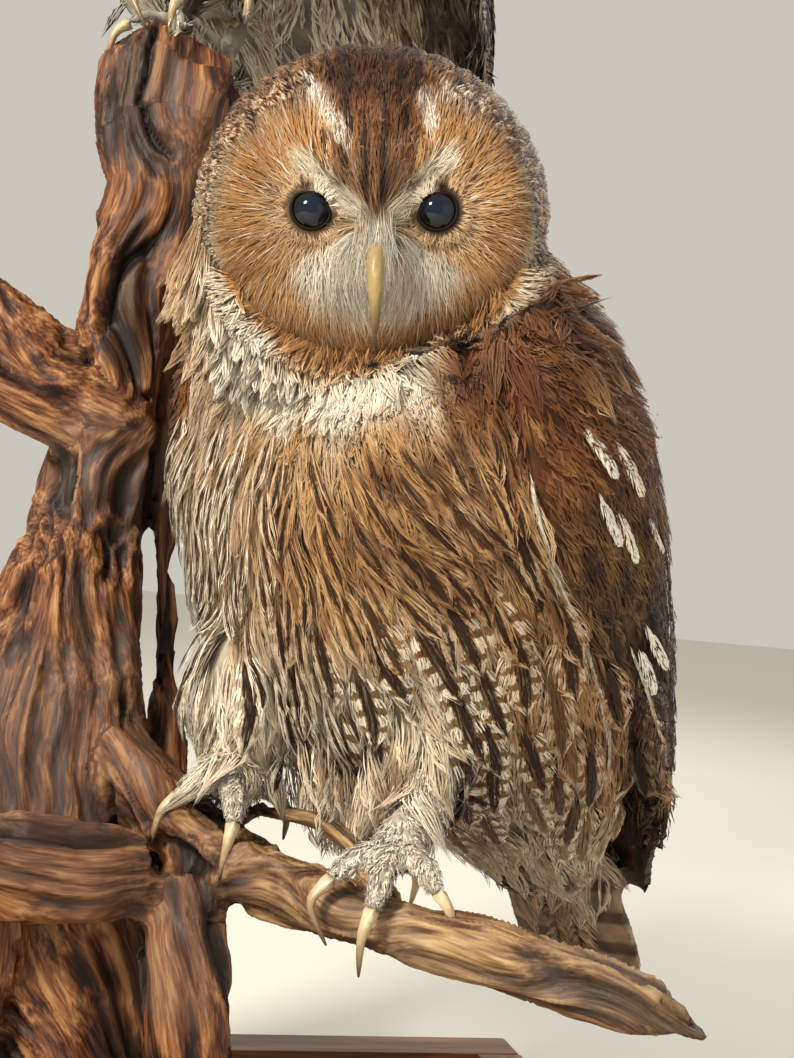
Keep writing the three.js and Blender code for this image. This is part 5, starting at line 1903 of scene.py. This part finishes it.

# %% Driftwood material
# Dry heartwood, red-brown with pale ridges, greyed by light where it faces out; its checks and deepest folds
# get near-black painted shade.
bark, bark_tree, bark_shader = new_material("weathered_driftwood", Roughness=0.58, Specular_IOR_Level=0.4)
maths, mix = "Math", "MixRGB"
ramp, texture = "ValToRGB", "TexNoise"
value = {
    key: add_node(bark_tree, "Attribute", attribute_name=key).outputs["Fac"]
    for key in ("hollow", "tan", "weather", "ridge")
}
grain = add_node(bark_tree, "Attribute", attribute_name="grain_place").outputs["Vector"]
fibre = add_node(bark_tree, texture, {"Vector": grain, "Scale": 1 / 1.1, "Detail": 3.0})
streak = add_node(bark_tree, texture, {"Vector": grain, "Scale": 1 / 5.0, "Detail": 4.0})
fibres = add_node(bark_tree, maths, (fibre, 0.75, -0.38), operation="MULTIPLY_ADD")
streaks = add_node(bark_tree, maths, (streak, fibres), operation="ADD")
ridges = add_node(bark_tree, maths, (value["ridge"], 0.34, -0.19), operation="MULTIPLY_ADD")
tone = add_node(bark_tree, maths, (streaks, ridges), operation="ADD")
RED = [(0.27, "#0f0705"), (0.42, "#35190d"), (0.53, "#5c331b"), (0.65, "#82532f"), (0.82, "#ab8055")]
TAN = [(0.27, "#1c110a"), (0.42, "#533823"), (0.54, "#7d5f41"), (0.68, "#a28159"), (0.86, "#c4a781")]
red = add_node(bark_tree, ramp, {"Fac": tone}, stops=RED)
yellow = add_node(bark_tree, ramp, {"Fac": tone}, stops=TAN)
hue = add_node(bark_tree, mix, {"Fac": value["tan"], "Color1": red, "Color2": yellow})
greyed = add_node(bark_tree, maths, (value["weather"], 0.35), operation="MULTIPLY")
aged = add_node(bark_tree, mix, {"Fac": greyed, "Color1": hue, "Color2": linear("#5f5048")})
# The painted crevice shade is mixed in as near-black.
crevice_shade_mix = {"Fac": value["hollow"], "Color1": aged, "Color2": linear("#150b08")}
with_crevice_shade = add_node(bark_tree, mix, crevice_shade_mix)
bump = add_node(bark_tree, "Bump", {"Height": fibre, "Strength": 0.8, "Distance": 0.5 * MM})
bark_tree.links.new(with_crevice_shade.outputs["Color"], bark_shader.inputs["Base Color"])
bark_tree.links.new(bump.outputs["Normal"], bark_shader.inputs["Normal"])
wood.data.materials.append(bark)
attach(wood, "root")
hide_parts("driftwood")

# %% [markdown]
# ## The tray
# Five boards of varnished brown softwood with slightly worn edges. The grain runs along each board, so
# each board keeps its own grain coordinates: along its longer side, and across it.

# %% Tray boards
board_wood, board_tree, board_shader = new_material("varnished_tray_board", Roughness=0.42, Coat_Weight=0.2)
board_grain = add_node(board_tree, "Attribute", attribute_name="grain_place").outputs["Vector"]
figure = add_node(board_tree, texture, {"Vector": board_grain, "Scale": 1 / 7.0, "Detail": 5.0})
fine = add_node(board_tree, texture, {"Vector": board_grain, "Scale": 1 / 1.2, "Detail": 2.0})
fine_tone = add_node(board_tree, maths, (fine, 0.3, -0.15), operation="MULTIPLY_ADD")
board_tone = add_node(board_tree, maths, (figure, fine_tone), operation="ADD")
BROWN = [(0.3, "#4a2a17"), (0.5, "#7d4f2e"), (0.7, "#a1703f")]
board_hue = add_node(board_tree, ramp, {"Fac": board_tone}, stops=BROWN)
board_tree.links.new(board_hue.outputs["Color"], board_shader.inputs["Base Color"])

BOARD_STRETCH = 0.07  # how slowly the grain changes along a board, against across it
for number, source in enumerate(name for name in nodes if name.startswith("base_")):
    points, faces, _ = merged_copy([source])
    board = new_piece("board_" + source, points, faces, board_wood, smooth=False)
    apply_modifier(board, "BEVEL", width=1.2 * MM, segments=2, limit_method="ANGLE")
    made, _, _ = mesh_arrays(board.data)
    reach = made.max(0) - made.min(0)
    long_way, cross_way = made[:, np.argsort(-reach[:2])].T / MM
    grain = np.stack([cross_way, made[:, 2] / MM, long_way * BOARD_STRETCH], 1) + 60.0 * number
    set_values(board, grain_place=grain)
    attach(board, "root")
    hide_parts(source)
    print(board.name, [round(side / MM) for side in reach], "mm")
